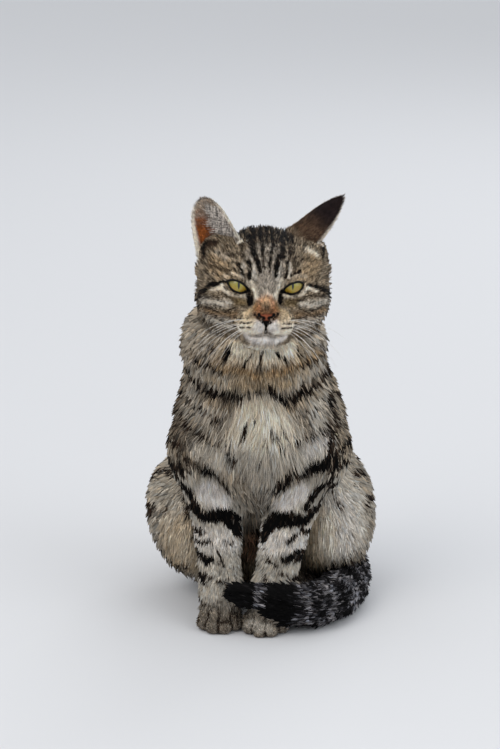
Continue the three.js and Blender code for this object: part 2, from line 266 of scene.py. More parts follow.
def face_shape(q):
    """The field of the head's coat, without the ears, in the head's axes."""
    m = fold(q)
    cranium = ellipsoid(q, (0, 8, 13), (46, 44, 37))
    brow = ellipsoid(q, (0, -21, 16), (32, 24, 20))
    cheeks = ellipsoid(m, (30, 2, -5), (27, 34, 37))
    ear_roots = ellipsoid(m, (38, 9, 26), (16, 15, 17))
    jaw = ellipsoid(q, (0, -14, -24), (34, 35, 18))
    cheekbones = ellipsoid(m, (24, -23, -12), (19, 17, 13))
    bridge = limb(q, (0, -34, 6), 12, (0, -51, -13), 8.5)
    pads = ellipsoid(m, (10, -45, -24.5), (14, 15, 11.5))
    chin = ellipsoid(q, (0, -36, -37), (21, 17, 9.5))
    skull = melt(14, cranium, brow, cheeks, ear_roots, jaw)
    face = melt(7, skull, cheekbones, bridge, pads, chin)
    return dent(10, face, ellipsoid(m, EYE + [2, -19, 0], (12, 12, 8)))


def face_depth(q):
    """The coat's depth on the head: shallow on the face and at the ears, deep on the cheeks and nape."""
    depth = mix(0.8, 4.6, smooth(q[:, 1], -42, 4))
    depth = depth + 1.5 * smooth(q[:, 2], -10, -40) * smooth(q[:, 1], -30, -5)
    return mix(depth, 1.6, smooth(np.linalg.norm(fold(q) - EAR_ROOT, axis=1), 26, 12))


def path_field(p, path, radius):
    """A tube along straight pieces."""
    result = np.full(len(p), FAR)
    for a, b in zip(path[:-1], path[1:]):
        a, b = np.asarray(a, float), np.asarray(b, float)
        t = np.clip((p - a) @ (b - a) / ((b - a) @ (b - a)), 0, 1)
        result = np.minimum(result, np.linalg.norm(p - a - t[:, None] * (b - a), axis=1) - radius)
    return result


def front_at(shape, path, start=-75.0, end=0.0, step=0.25):
    """Drops points given as (x, z) onto the front of a shape, or to where they pass it closest."""
    path = np.asarray(path, float)
    y = np.arange(start, end, step)
    p = np.stack([np.repeat(path[:, 0], len(y)), np.tile(y, len(path)), np.repeat(path[:, 1], len(y))], 1)
    field = shape(p).reshape(len(path), len(y))
    inside = field < 0
    first = np.where(inside.any(1), inside.argmax(1), field.argmin(1))
    return np.stack([path[:, 0], y[first], path[:, 1]], 1)


def bare_face(q):
    return face_shape(q) + face_depth(q)


LIPS = front_at(bare_face, [(0, -32.4), (4, -34), (8, -35.6), (13, -36.2), (18, -35), (22, -32)])
NOSE_TIP = front_at(bare_face, [(0, -19.4)])[0]
PHILTRUM = front_at(bare_face, [(0, -25.5), (0, -29), (0, -32.6)])
NOSE_SIDE = front_at(bare_face, [(9.6, -17.4), (6.8, -20.8), (3.4, -24.4), (0.6, -26.6)])


def nose_field(q):
    """The nose leather: two wings over a wedge, with nostrils and a groove."""
    m = fold(q)
    tip = NOSE_TIP
    wings = ellipsoid(m, tip + [4.6, 2.6, 0.6], (4.6, 4.4, 3.4))
    middle = ellipsoid(m, tip + [0, 2.2, -0.2], (5.0, 4.2, 4.6))
    wedge = limb(q, tip + [0, 1.6, -2], 2.6, tip + [0, 1.8, -6.2], 1.1)
    leather = melt(2.0, wings, middle, wedge)
    leather = dent(1.0, leather, limb(m, tip + [3.0, -1.8, -1.6], 1.15, tip + [7.4, 0.6, 0.2], 0.8))
    return dent(0.7, leather, limb(q, tip + [0, -2.3, -0.5], 0.35, tip + [0, 0.2, -7], 0.35))


def head_skin(p):
    """The head's skin, with lids, the eyes' openings, lips and the groove under the nose."""
    q = to_head(p)
    shape = bare_face(q)
    m = fold(q)
    shape = melt(4, shape, np.linalg.norm(m - EYE, axis=1) - EYE_RADIUS - LID)
    shape = dent(0.8, shape, slit(q))
    shape = dent(1.4, shape, path_field(m, LIPS[:4], 0.35))
    return dent(1.6, shape, path_field(m, PHILTRUM, 0.5))


# ---------------------------------------------------------------- trunk, legs and tail

FLOOR_GAP = 0.3  # the height that nothing goes below
COAT_DEPTH = {"torso": 7.0, "thigh": 6.0, "foreleg": 3.5, "paw": 1.3, "tail": 5.0}

FOREPAW = (33, 36)  # width and length
HIND_PAW = (30, 34)
LEGS = {
    "right": dict(
        shoulder=(-50, -28, 148), elbow=(-40, -38, 106), wrist=(-35, -66, 30), paw=(-36, -75, 11), heading=-4
    ),
    "left": dict(
        shoulder=(46, -28, 148), elbow=(26, -40, 106), wrist=(9, -74, 30), paw=(2, -83, 11), heading=3
    ),
}
HAUNCHES = {
    "right": dict(
        middle=(-64, 30, 65.5), radii=(34, 56, 54), tilt=-18,
        hip=(-51, 56, 81), knee=(-60.5, -4, 76), knee_radius=24.5,
    ),
    "left": dict(
        middle=(62, 30, 79), radii=(36, 59, 57), tilt=-8,
        hip=(51, 56, 81), knee=(57, -4, 59), knee_radius=30,
    ),
}
HIND_FEET = {
    "right": dict(hock=(-44, 62, 13.6), toes=(-36, -34, 11)),
    "left": dict(hock=(44, 62, 13.6), toes=(32, -34, 11)),
}
TAIL_KNOTS = [(6, 104, 30), (36, 112, 19), (65, 92, 17), (77, 55, 17), (78, 14, 17)]
TAIL_KNOTS += [(72, -26, 18), (54, -65, 18.5), (27, -89, 24), (2, -96, 34), (-20, -94, 36.5)]
TAIL_RADIUS = 19.5
TAIL_STEPS = 54


def torso(p):
    return melt(
        20,
        ellipsoid(p, (8, 58, 54), (64, 60, 57)),
        ellipsoid(p, (0, 30, 104), (73, 68, 62)),
        ellipsoid(p, (-2, -4, 152), (69, 72, 60)),
        ellipsoid(p, (-1, -20, 185), (66, 62, 46)),
        ellipsoid(p, (-5, -46, 156), (34, 34, 46)),
        limb(p, (-4, -27, 200), 59, (-7, -38, 236), 57),
        ellipsoid(p, (-7, -46, 250), (57, 46, 34)),
    )


def foreleg(p, leg):
    return melt(
        12,
        ellipsoid(p, leg["shoulder"], (28, 40, 38)),
        limb(p, leg["shoulder"], 26, leg["elbow"], 22),
        limb(p, leg["elbow"], 22, leg["wrist"], 16.5),
        limb(p, leg["wrist"], 16, leg["paw"], 12),
    )


def paw_axes(heading):
    a = math.radians(heading)
    return vec(math.sin(a), -math.cos(a), 0), vec(math.cos(a), math.sin(a), 0)


def toes(p, middle, heading, width, length):
    """The distance to each of the four toes, the middle pair further forward."""
    out, across = paw_axes(heading)
    radius = width / 5.1
    middle = np.asarray(middle, float)
    for step in (-1.5, -0.5, 0.5, 1.5):
        toe = middle + across * step * radius * 1.34 + out * length * (0.24 if abs(step) > 1 else 0.46)
        knuckle = toe - out * radius * 1.6
        toe[2], knuckle[2] = radius * (1.1 if abs(step) > 1 else 0.96), radius * 1.75
        yield limb(p, knuckle, radius * 0.84, toe, radius * 1.08)


def paw(p, middle, heading, width, length):
    """The palm and four toes side by side."""
    out, _ = paw_axes(heading)
    palm = ellipsoid(p, np.asarray(middle, float) - out * length * 0.04, (width * 0.47, length * 0.46, 14))
    return melt(2.0, palm, *toes(p, middle, heading, width, length))


def toe_gaps(p, middle, heading, width, length):
    """How deep each place lies between two toes, from 0 to 1."""
    distances = np.sort(np.stack(list(toes(p, middle, heading, width, length)), 1), axis=1)
    out, _ = paw_axes(heading)
    ahead = smooth((p - middle) @ out, length * 0.08, length * 0.3)
    return ahead * smooth(distances[:, 1] - distances[:, 0], 3.0, -0.4)


def forepaw(p, leg):
    return paw(p, leg["paw"], leg["heading"], *FOREPAW)


def thigh(p, name):
    haunch = HAUNCHES[name]
    lean = turn("z", SIDES[name] * 6) @ turn("y", haunch["tilt"])
    bulk = ellipsoid(p, haunch["middle"], haunch["radii"], lean)
    return melt(16, bulk, limb(p, haunch["hip"], 43, haunch["knee"], haunch["knee_radius"]))


def hind_foot(p, name):
    foot = HIND_FEET[name]
    return melt(6, limb(p, foot["hock"], 14, foot["toes"], 11.5), paw(p, foot["toes"], 0, *HIND_PAW))


def tail_line():
    """Points along the tail's middle, with how far along each is from 0 to 1."""
    knots = [vec(*k) for k in TAIL_KNOTS]
    knots = [2 * knots[0] - knots[1], *knots, 2 * knots[-1] - knots[-2]]
    points, shares = [], np.linspace(0, 1, TAIL_STEPS + 1)
    for share in shares:
        place = share * (len(knots) - 3)
        i = min(int(place), len(knots) - 4)
        w = place - i
        a, b, c, d = knots[i : i + 4]
        ab, bc, cd = (np.linalg.norm(e) ** 0.5 for e in (b - a, c - b, d - c))
        start = ((b - a) / ab - (c - a) / (ab + bc) + (c - b) / bc) * bc
        end = ((c - b) / bc - (d - b) / (bc + cd) + (d - c) / cd) * bc
        square, cube = 3 * (c - b) - 2 * start - end, 2 * (b - c) + start + end
        points.append(b + start * w + square * w**2 + cube * w**3)
    return np.array(points), shares


TAIL_POINTS, TAIL_SHARES = tail_line()


def tail_radius(share):
    return TAIL_RADIUS * (0.88 + 0.12 * smooth(share, 0.3, 0.55) - 0.52 * smooth(share, 0.66, 1.0))


def along_tail(p):
    """Distance to the tail's surface, the share along it and its direction there."""
    best, share, way = np.full(len(p), FAR), np.zeros(len(p)), np.zeros((len(p), 3))
    for i in range(TAIL_STEPS):
        a, b = TAIL_POINTS[i], TAIL_POINTS[i + 1]
        t = np.clip((p - a) @ (b - a) / ((b - a) @ (b - a)), 0, 1)
        s = mix(TAIL_SHARES[i], TAIL_SHARES[i + 1], t)
        d = np.linalg.norm(p - a - t[:, None] * (b - a), axis=1) - tail_radius(s)
        closer = d < best
        best[closer], share[closer], way[closer] = d[closer], s[closer], unit(b - a)
    return best, share, way


HEAD_BOX = (from_head(vec(0, -20, 0)) - 65, from_head(vec(0, -10, 10)) + 62)


def regions(places):
    """Distance from each place to the coat's outside on each part of the body."""
    p = places - HOME
    found = {
        "head": near(places, *HEAD_BOX, lambda x: face_shape(to_head(x))),
        "torso": near(p, (-72, -92, -4), (74, 120, 286), torso),
        "tail": near(p, (-42, -116, 4), (99, 134, 50), lambda x: along_tail(x)[0]),
    }
    for name, side in SIDES.items():
        leg = LEGS[name]
        middle = leg["paw"][0]
        low, high = sorted((leg["shoulder"][0] + side * 29, middle - side * 20))
        found["foreleg_" + name] = near(p, (low, -98, 0), (high, 14, 188), lambda x: foreleg(x, leg))
        low, high = middle - 20, middle + 20
        found["forepaw_" + name] = near(p, (low, -110, 0), (high, -52, 26), lambda x: forepaw(x, leg))
        low, high = sorted((side * 8, side * 105))
        found["thigh_" + name] = near(p, (low, -36, 8), (high, 100, 138), lambda x: thigh(x, name))
        low, high = sorted((side * 14, side * 62))
        found["hind_foot_" + name] = near(p, (low - 2, -56, 0), (high, 78, 30), lambda x: hind_foot(x, name))
    return found


def body_shape(p):
    """Distance to the coat's outside of all but the head, for places measured from the floor point."""
    found = regions(p + HOME)
    return np.min([d for name, d in found.items() if name not in ("head", "tail")], 0)


def skin_field(places):
    """The one skin under the whole coat, without the ears."""
    found = regions(places)
    low = smooth(places[:, 2], 0.0, 7.0)  # the coat is pressed thin on the floor
    trunk = found["torso"] + COAT_DEPTH["torso"]
    haunches, fronts = trunk, []
    for name in SIDES:
        foot = found["hind_foot_" + name] + COAT_DEPTH["paw"] * 1.5 * low
        haunches = melt(26, haunches, melt(8, found["thigh_" + name] + COAT_DEPTH["thigh"], foot))
        foot = found["forepaw_" + name] + COAT_DEPTH["paw"] * low
        fronts.append(melt(12, trunk, melt(5, found["foreleg_" + name] + COAT_DEPTH["foreleg"], foot)))
    body = melt(8, np.min([haunches, *fronts], 0), found["tail"] + COAT_DEPTH["tail"])
    return np.maximum(melt(8, body, near(places, *HEAD_BOX, head_skin)), FLOOR_GAP - places[:, 2])


def gradient(field, p, step=0.25):
    """The outward direction of a field at each place."""
    corners = np.array([(1, -1, -1), (-1, -1, 1), (-1, 1, -1), (1, 1, 1)], float)
    return unit(sum(field(p + c * step)[:, None] * c for c in corners))


# ---------------------------------------------------------------- meshes


def outward(places, faces):
    """Faces of a closed mesh, turned to point outwards."""
    corners = places[faces] - places.mean(0)
    volume = (corners[:, 0] * np.cross(corners[:, 1], corners[:, 2])).sum()
    return faces if volume > 0 else faces[:, ::-1]


def surface_of(field, low, high, step):
    """A closed mesh of a field's surface, as places in millimetres and triangles."""
    counts = np.ceil((np.asarray(high) - low) / step).astype(int) + 1
    axes = [low[i] + step * np.arange(counts[i]) for i in range(3)]
    values = np.empty(counts, np.float32)
    for i, x in enumerate(axes[0]):
        y, z = np.meshgrid(axes[1], axes[2], indexing="ij")
        flat = np.stack([np.full(y.size, x), y.ravel(), z.ravel()], 1)
        values[i] = field(flat).reshape(y.shape)
    grid = openvdb.FloatGrid(FAR)
    grid.copyFromArray(values)
    places, quads = grid.convertToQuads(isovalue=0.0)
    places = places * step + np.asarray(low)
    faces = np.concatenate([quads[:, [0, 1, 2]], quads[:, [0, 2, 3]]]).astype(np.int64)
    return places.astype(float), outward(places, faces)


def ring_faces(rows, around, closed=False):
    """Triangles between rows of rings of places. Closed, the last ring is joined to the first."""
    grid = np.meshgrid(np.arange(rows if closed else rows - 1), np.arange(around), indexing="ij")
    i, j = (a.ravel() for a in grid)
    k, n = (j + 1) % around, (i + 1) % rows
    a, b, c, d = i * around + j, i * around + k, n * around + k, n * around + j
    return np.concatenate([np.stack((a, b, c), 1), np.stack((a, c, d), 1)])


def capped_faces(rows, around):
    """Triangles over rows of rings and the two end places that follow them."""
    first, last, top = rows * around, rows * around + 1, (rows - 1) * around
    j = np.arange(around)
    k = (j + 1) % around
    start = np.stack((k, j, np.full(around, first)), 1)
    end = np.stack((top + j, top + k, np.full(around, last)), 1)
    return np.concatenate([ring_faces(rows, around), start, end])


def settle(field, places, rounds=3, reach=1.0):
    """Moves places onto a field's surface."""
    for _ in range(rounds):
        d = np.clip(field(places), -reach, reach)
        places = places - gradient(field, places) * d[:, None]
    return places


def refine(places, faces, wanted):
    """Splits the wanted triangles in four, and their neighbours so that no gap opens."""
    ends = np.sort(np.stack([faces, np.roll(faces, -1, 1)], 2).reshape(-1, 2), 1)
    keys, edge = np.unique(ends[:, 0] * len(places) + ends[:, 1], return_inverse=True)
    edge = edge.reshape(-1, 3)
    cut = np.zeros(len(keys), bool)
    cut[edge[wanted].ravel()] = True
    middles = (places[keys[cut] // len(places)] + places[keys[cut] % len(places)]) / 2
    number = np.full(len(keys), -1)
    number[cut] = len(places) + np.arange(cut.sum())
    mids = number[edge]
    count = (mids >= 0).sum(1)
    made = [faces[count == 0]]

    def split(chosen, order, *triangles):
        both = np.concatenate([faces[chosen][:, order], mids[chosen][:, order]], 1)
        made.extend(both[:, triangle] for triangle in triangles)

    # 0 to 2 stand for a triangle's corners, and 3 to 5 for the middles of the edges that follow them
    split(count == 3, [0, 1, 2], [0, 3, 5], [3, 1, 4], [5, 4, 2], [3, 4, 5])
    for first in range(3):
        order = [(first + i) % 3 for i in range(3)]
        split((count == 1) & (mids[:, first] >= 0), order, [3, 1, 2], [0, 3, 2])
        split((count == 2) & (mids[:, order[2]] < 0), order, [3, 1, 4], [0, 3, 4], [0, 4, 2])
    return np.concatenate([places, middles]), np.concatenate(made)


def new_mesh(name, places, faces):
    """A mesh object from places in millimetres."""
    mesh = bpy.data.meshes.new(name)
    count = len(faces)
    mesh.vertices.add(len(places))
    mesh.vertices.foreach_set("co", (places * MM).astype(np.float32).ravel())
    mesh.loops.add(count * 3)
    mesh.loops.foreach_set("vertex_index", faces.astype(np.int32).ravel())
    mesh.polygons.add(count)
    mesh.polygons.foreach_set("loop_start", np.arange(0, count * 3, 3, dtype=np.int32))
    mesh.polygons.foreach_set("use_smooth", np.ones(count, bool))
    mesh.update(calc_edges=True)
    obj = bpy.data.objects.new(name, mesh)
    bpy.context.scene.collection.objects.link(obj)
    return obj


def arrays_of(mesh):
    """A triangle mesh's places in millimetres, its triangles and its normals."""
    places, normals = (np.empty(len(mesh.vertices) * 3, np.float32) for _ in range(2))
    mesh.vertices.foreach_get("co", places)
    mesh.vertices.foreach_get("normal", normals)
    mesh.calc_loop_triangles()
    faces = np.empty(len(mesh.loop_triangles) * 3, np.int32)
    mesh.loop_triangles.foreach_get("vertices", faces)
    places, faces, normals = (a.reshape(-1, 3) for a in (places, faces, normals))
    return places.astype(float) / MM, faces, normals.astype(float)


def paint(mesh, name, colours):
    """Stores a colour for each vertex."""
    attribute = mesh.attributes.new(name, "FLOAT_COLOR", "POINT")
    full = np.ones((len(colours), 4), np.float32)
    full[:, :3] = colours
    attribute.data.foreach_set("color", full.ravel())


# ---------------------------------------------------------------- ears

# For each ear: its root and tip, the way that it opens, its width laid flat, how tightly it is
# rolled at the root and the tip, and how pointed it is.
EARS = {
    "right": dict(
        base=(-32, 4, 25), tip=(-53, 3, 74), opening=(-0.42, -0.9, 0),
        width=52, cups=(24, 24), sharpness=1.15,
    ),
    "left": dict(
        base=(24, 3, 34.5), tip=(68, 13, 77), opening=(0.42, 0.82, -0.4),
        width=37, cups=(17, 15), sharpness=1.6,
    ),
}
EAR_THICKNESS = 1.9  # of the skin: the coat makes up the rest
EAR_INSET = 0.8  # how far the skin's rim lies inside the coat's
OUTER_SIDE = -1  # which way round an ear's hollow its outer side is


def ear_axes(ear):
    base, tip = from_head(vec(*ear["base"])), from_head(vec(*ear["tip"]))
    up = unit(tip - base)
    front = vec(*ear["opening"])
    front = unit(front - up * (front @ up))
    return base, tip, up, front, np.cross(up, front)


def ear_place(ear, rise, across, shell, inset=0.0):
    """Places on an ear: `rise` up it, `across` from -1 to 1 and `shell` inside its middle layer."""
    base, tip, up, front, side = ear_axes(ear)
    height = np.linalg.norm(tip - base) - inset
    outline = np.maximum(1 - rise * rise, 0) ** (ear["sharpness"] / 2)
    closing = smooth(rise, 0, 0.1)
    radius = mix(ear["cups"][0], ear["cups"][1], rise)
    edge = np.maximum(ear["width"] * outline - 2 * inset, 0.2) / (2 * radius)
    bend = across * edge * closing
    level = shell * np.minimum(outline * 1.4, 1) * closing
    made = base + up * (rise * height)[:, None]
    made = made + side * (np.sin(bend) * (radius - level))[:, None]
    return made + front * ((1 + np.cos(edge)) * radius / 2 - np.cos(bend) * (radius - level))[:, None]


def ear_mesh(ear, around=72, along=44):
    """An ear's cupped leaf as a closed mesh, with a grid of rings from its root to its tip."""
    spin = np.arange(around) * 2 * math.pi / around
    rows = (1 - np.cos(np.linspace(0, math.pi, along + 1)[1:-1])) / 2
    rise, angle = (a.ravel() for a in np.meshgrid(rows, spin, indexing="ij"))
    rise = np.concatenate([rise, [0, 1]])
    across = np.concatenate([np.sin(angle), [0, 0]])
    shell = np.concatenate([np.cos(angle), [0, 0]]) * EAR_THICKNESS / 2
    places = ear_place(ear, rise, across, shell, EAR_INSET)
    return places, outward(places, capped_faces(along - 1, around))


def ear_share(p, name):
    """Whether places are on an ear, how far up and round it, and how far inside its hollow."""
    ear = EARS[name]
    base, tip, up, front, side = ear_axes(ear)
    height = np.linalg.norm(tip - base)
    r = p - base
    rise = np.clip(r @ up / height, 0, 1)
    outline = np.maximum(1 - rise * rise, 0) ** (ear["sharpness"] / 2)
    radius = mix(ear["cups"][0], ear["cups"][1], rise)
    edge = np.maximum(ear["width"] * outline, 0.4) / (2 * radius)
    x = r @ side
    y = (1 + np.cos(edge)) * radius / 2 - r @ front
    level = radius - np.hypot(x, y)
    across = np.arctan2(x, y) / edge
    on = (np.abs(level) < 3.2) & (np.abs(across) < 1.25) & (r @ up > 1) & (r @ up < height + 3)
    return on, rise, across, level


def ear_inner_side(name):
    """Which way round an ear's hollow the side towards the crown lies."""
    return -OUTER_SIDE * (1 if name == "right" else -1)


# ---------------------------------------------------------------- markings


def stroke(p, normals, path, start, end, soft):
    """How strong a brush stroke is at each place of a surface, its half width going from `start` to `end`."""
    result = np.zeros(len(p))
    reach = max(start, end) + soft + 10
    close = ((p > path.min(0) - reach) & (p < path.max(0) + reach)).all(1)
    if not close.any():
        return result
    p, normals = p[close], normals[close]
    lengths = np.cumsum([0] + [np.linalg.norm(b - a) for a, b in zip(path[:-1], path[1:])])
    best = np.full(len(p), -FAR)
    for i, (a, b) in enumerate(zip(path[:-1], path[1:])):
        t = np.clip((p - a) @ (b - a) / ((b - a) @ (b - a)), 0, 1)
        width = mix(start, end, mix(lengths[i], lengths[i + 1], t) / lengths[-1])
        away = p - a - t[:, None] * (b - a)
        depth = (away * normals).sum(1)
        flat = np.sqrt(np.maximum((away**2).sum(1) - 0.92 * depth**2, 0))
        best = np.maximum(best, np.where(np.abs(depth) < 14, width - flat, -FAR))
    result[close] = smooth(best, -soft, soft)
    return result


# Brush strokes, in order: colour (or "dark" for the stripes and for painted shade), strength, half width at
# the start and at the end, softness of the edge, and the path as (x, z) points that are dropped onto the
# front of the head or body. Those of the pairs lie alike on both sides, x being how far out they are.
FACE_PAIRS = [
    ("grey", 0.7, 9, 13, 5, [(4, 2), (5, 32)]),
    ("tan", 0.6, 7, 9, 6, [(32, 12), (42, 24)]),
    ("pale", 0.75, 1.8, 1.4, 1.6, [(9.5, 11), (10.5, 21)]),
    ("pale", 0.7, 2.0, 1.6, 1.6, [(19, 12), (19, 22)]),
    ("cream", 0.8, 2.2, 2.8, 2.5, [(12, 8), (10, 2), (8, -4.5)]),
    ("cream", 0.3, 1.6, 1.4, 1.8, [(34, 11.5), (27, 12.5), (20, 11)]),
    ("cream", 0.8, 2.1, 1.8, 2.1, [(35, 3), (29, -1.6), (22, -4), (16.5, -4.4)]),
    ("cream", 0.7, 1.6, 1.4, 1.8, [(34, 2), (44, -0.5)]),
    ("olive", 1.0, 3.4, 4.0, 3.0, [(18, -10), (27, -9)]),
    ("pale", 0.8, 2.0, 3.2, 3.6, [(30, -10.5), (40, -11.4), (54, -10.6)]),
    ("gold", 0.42, 3.0, 4.0, 3.0, [(24, -19.5), (36, -21), (50, -20)]),
    ("pale", 0.6, 4.0, 5.0, 4.0, [(32, -26), (50, -26)]),
    ("buff", 1.0, 3.8, 3, 2, [(14, -15.5), (18, -19)]),
    ("buff", 1.0, 6.5, 5, 2.8, [(14, -26), (24, -28)]),
    ("cream", 0.55, 5.5, 4.5, 3, [(13, -28.5), (23, -29.5)]),
    ("pale", 0.8, 3, 3, 2.5, [(27, -32), (44, -28)]),
    ("white", 1.0, 4.8, 5.2, 2.4, [(5.4, -26), (6, -30)]),
    ("cream", 0.85, 2.8, 2.2, 2.4, [(9, -33), (16, -33.2), (23, -31.4)]),
    ("white", 1.0, 4.5, 3.0, 2.6, [(2, -41), (9, -40.5), (16, -37.5)]),
    # painted shade below the whisker pads, in grey
    ("grey", 0.6, 1.8, 1.2, 1.6, [(0, -36.2), (7, -37.4)]),
    ("cream", 0.95, 4.5, 4, 3, [(2, -48.5), (12, -47), (20, -42.5)]),
    ("tan", 0.9, 5, 5, 4, [(27, -41), (44, -37)]),
    ("dark", 0.72, 0.75, 0.7, 1.0, [(14.8, -21.2), (18.6, -21.7)]),
    ("dark", 0.72, 0.75, 0.7, 1.0, [(20.8, -22.2), (25, -22.8)]),
    ("dark", 0.72, 0.75, 0.7, 1.0, [(13, -24.6), (16, -25.0)]),
    ("dark", 0.72, 0.75, 0.7, 1.0, [(18, -25.4), (21.6, -26)]),
    ("dark", 0.72, 0.75, 0.7, 1.0, [(23.4, -26.4), (26.6, -27)]),
    ("dark", 0.78, 0.8, 0.8, 0.9, [(13.2, -28.4), (16, -28.8)]),
    ("dark", 0.78, 0.8, 0.8, 0.9, [(18.4, -29.2), (21.4, -29.8)]),
    ("dark", 0.78, 0.8, 0.8, 0.9, [(23.6, -30.4), (26.4, -31)]),
    ("dark", 1.0, 1.2, 1.1, 0.7, [(9.2, -17.8), (6.4, -20.8), (3.2, -24.4)]),
]
FACE_SINGLES = [
    ("bridge", 0.95, 6.5, 4.5, 2.5, [(0, 12), (0, -3)]),
    ("cream", 0.8, 4.5, 6, 1.6, [(0, -4.5), (0, -6.5)]),
    ("rust", 0.95, 8.0, 10.5, 3.4, [(0, -8.8), (0, -12.5)]),
    ("buff", 0.6, 3.0, 4.5, 3.0, [(0, -6), (0, -9.5)]),
    ("umber", 0.45, 8.0, 7.5, 3.0, [(0, -15.5), (0, -18)]),
    ("dark", 0.3, 6.0, 6.0, 2.6, [(0, -16), (0, -17.5)]),
    ("gold", 0.6, 2.0, 2.6, 1.8, [(8.6, -7.5), (10, -14)]),
    ("gold", 0.6, 2.0, 2.6, 1.8, [(-8.6, -7.5), (-10, -14)]),
    # the crown
    ("dark", 0.82, 5.0, 5.0, 4.5, [(-24, 47), (-12, 46), (0, 46), (12, 46), (24, 47)]),
    ("dark", 0.5, 5.0, 5.0, 4.5, [(-14, 40), (0, 41), (14, 40)]),
    # over the forehead
    ("dark", 0.95, 3.2, 2.4, 1.8, [(-12.5, 45), (-10.8, 38), (-9.6, 30)]),
    ("dark", 0.95, 2.6, 1.5, 1.2, [(-8.8, 30), (-7, 24), (-5, 17)]),
    ("dark", 0.95, 2.8, 2.4, 1.6, [(14, 46), (14.5, 37), (13.4, 28)]),
    ("dark", 1.0, 2.1, 1.6, 1.1, [(10.6, 29), (8.8, 22), (7.4, 13)]),
    ("dark", 1.0, 1.5, 2.0, 1.2, [(-15, 25), (-13.4, 18), (-13.2, 11)]),
    ("dark", 0.9, 1.2, 1.6, 1.1, [(18, 24), (16.6, 18), (16, 11)]),
    ("dark", 0.85, 1.8, 1.2, 1.2, [(6.6, 44), (5.8, 36), (3.6, 28), (2.6, 17)]),
    ("dark", 0.85, 1.8, 1.2, 1.2, [(-3, 45), (-2.6, 36), (-3, 28), (-1.6, 20)]),
    ("dark", 0.7, 1.2, 1.0, 1.2, [(9.2, 42), (9, 34)]),
    ("dark", 0.7, 2.0, 1.6, 1.6, [(-21, 45), (-19, 36), (-19.5, 27)]),
    ("dark", 0.7, 2.2, 1.8, 1.8, [(22, 45), (20.5, 36), (20, 28)]),
    ("dark", 0.85, 1.2, 1.4, 1.2, [(-18, 11), (-20, 16), (-23, 22)]),
    ("dark", 0.7, 1.0, 1.2, 1.2, [(-23, 13), (-26, 18)]),
    ("dark", 0.85, 1.4, 1.2, 1.2, [(21, 12.5), (25, 15.5), (29, 17)]),
    ("dark", 0.5, 2.4, 2.0, 2.2, [(-30, 15), (-38, 18), (-46, 20)]),
    ("dark", 0.5, 2.2, 2.0, 2.2, [(24, 22), (32, 26), (38, 25)]),
    ("dark", 0.5, 2.4, 2.4, 2.2, [(-26, 28), (-34, 33)]),
    ("cream", 0.85, 2.8, 2.4, 3.2, [(36, 33), (44, 29)]),
    ("pale", 0.35, 3.0, 2.6, 2.4, [(-33, 27), (-40, 30)]),
    # back from the eyes and across the cheeks
    ("dark", 1.0, 1.5, 1.8, 1.0, [(-32, 7.6), (-37, 6.4), (-42, 4.6)]),
    ("dark", 1.0, 2.6, 3.8, 1.6, [(-42, 4.2), (-47, 1.6), (-52, -2.4), (-56, -8)]),
    ("dark", 0.45, 1.2, 1.8, 2.0, [(-25, -7.5), (-34, -5.6), (-41, -5.6), (-48, -7), (-56, -10.5)]),
    ("dark", 0.7, 1.0, 1.4, 2.0, [(-25, -14), (-32, -16.8), (-40, -17.8), (-49, -16.4), (-57, -18)]),
    ("dark", 0.4, 1.0, 1.4, 1.8, [(-20, -20), (-28, -22.6), (-38, -24), (-50, -22.6)]),
    ("dark", 0.4, 1.2, 1.6, 2.0, [(-28, -28), (-38, -29.5), (-50, -31)]),
    ("dark", 1.0, 1.4, 1.6, 1.0, [(32, 5.4), (37, 4.4), (43, 3.2)]),
    ("dark", 1.0, 1.8, 2.8, 1.6, [(43, 3.2), (50, 0), (55, -3.5), (57, -9)]),
    ("dark", 0.6, 1.1, 1.6, 2.0, [(21, -8), (28, -7.6), (34, -5.6), (42, -4.6), (52, -6.5)]),
    ("dark", 0.75, 0.9, 1.4, 1.8, [(28, -14), (35, -16.6), (43, -16), (50, -13.6), (57, -15)]),
    ("dark", 0.5, 1.0, 1.4, 1.8, [(20, -20), (29, -22.4), (40, -21), (52, -22)]),
    ("dark", 0.4, 1.2, 1.6, 2.0, [(28, -29), (38, -28.5), (50, -30)]),
    ("dark", 0.35, 2.0, 3.0, 3.0, [(-27, -42), (-36, -41), (-46, -37)]),
    ("dark", 0.35, 2.0, 3.0, 3.0, [(27, -42), (36, -41), (46, -37)]),
    # tear lines
    ("dark", 1.0, 1.8, 2.9, 0.8, [(-15, 1.5), (-13.6, -4), (-12.8, -10.5)]),
    ("dark", 1.0, 1.5, 2.6, 0.8, [(14, 1), (12.6, -4), (11.6, -9)]),
    # the pockets at the outer roots of the ears: painted shade in their folds, in umber and black
    ("umber", 1.0, 4.5, 4.0, 2.5, [(-42, 37), (-50, 35), (-51, 25)]),
    ("dark", 0.95, 2.6, 2.4, 2.0, [(-50, 36), (-51, 28)]),
    ("dark", 0.95, 2.6, 2.4, 1.8, [(50, 34), (49.5, 26)]),
]
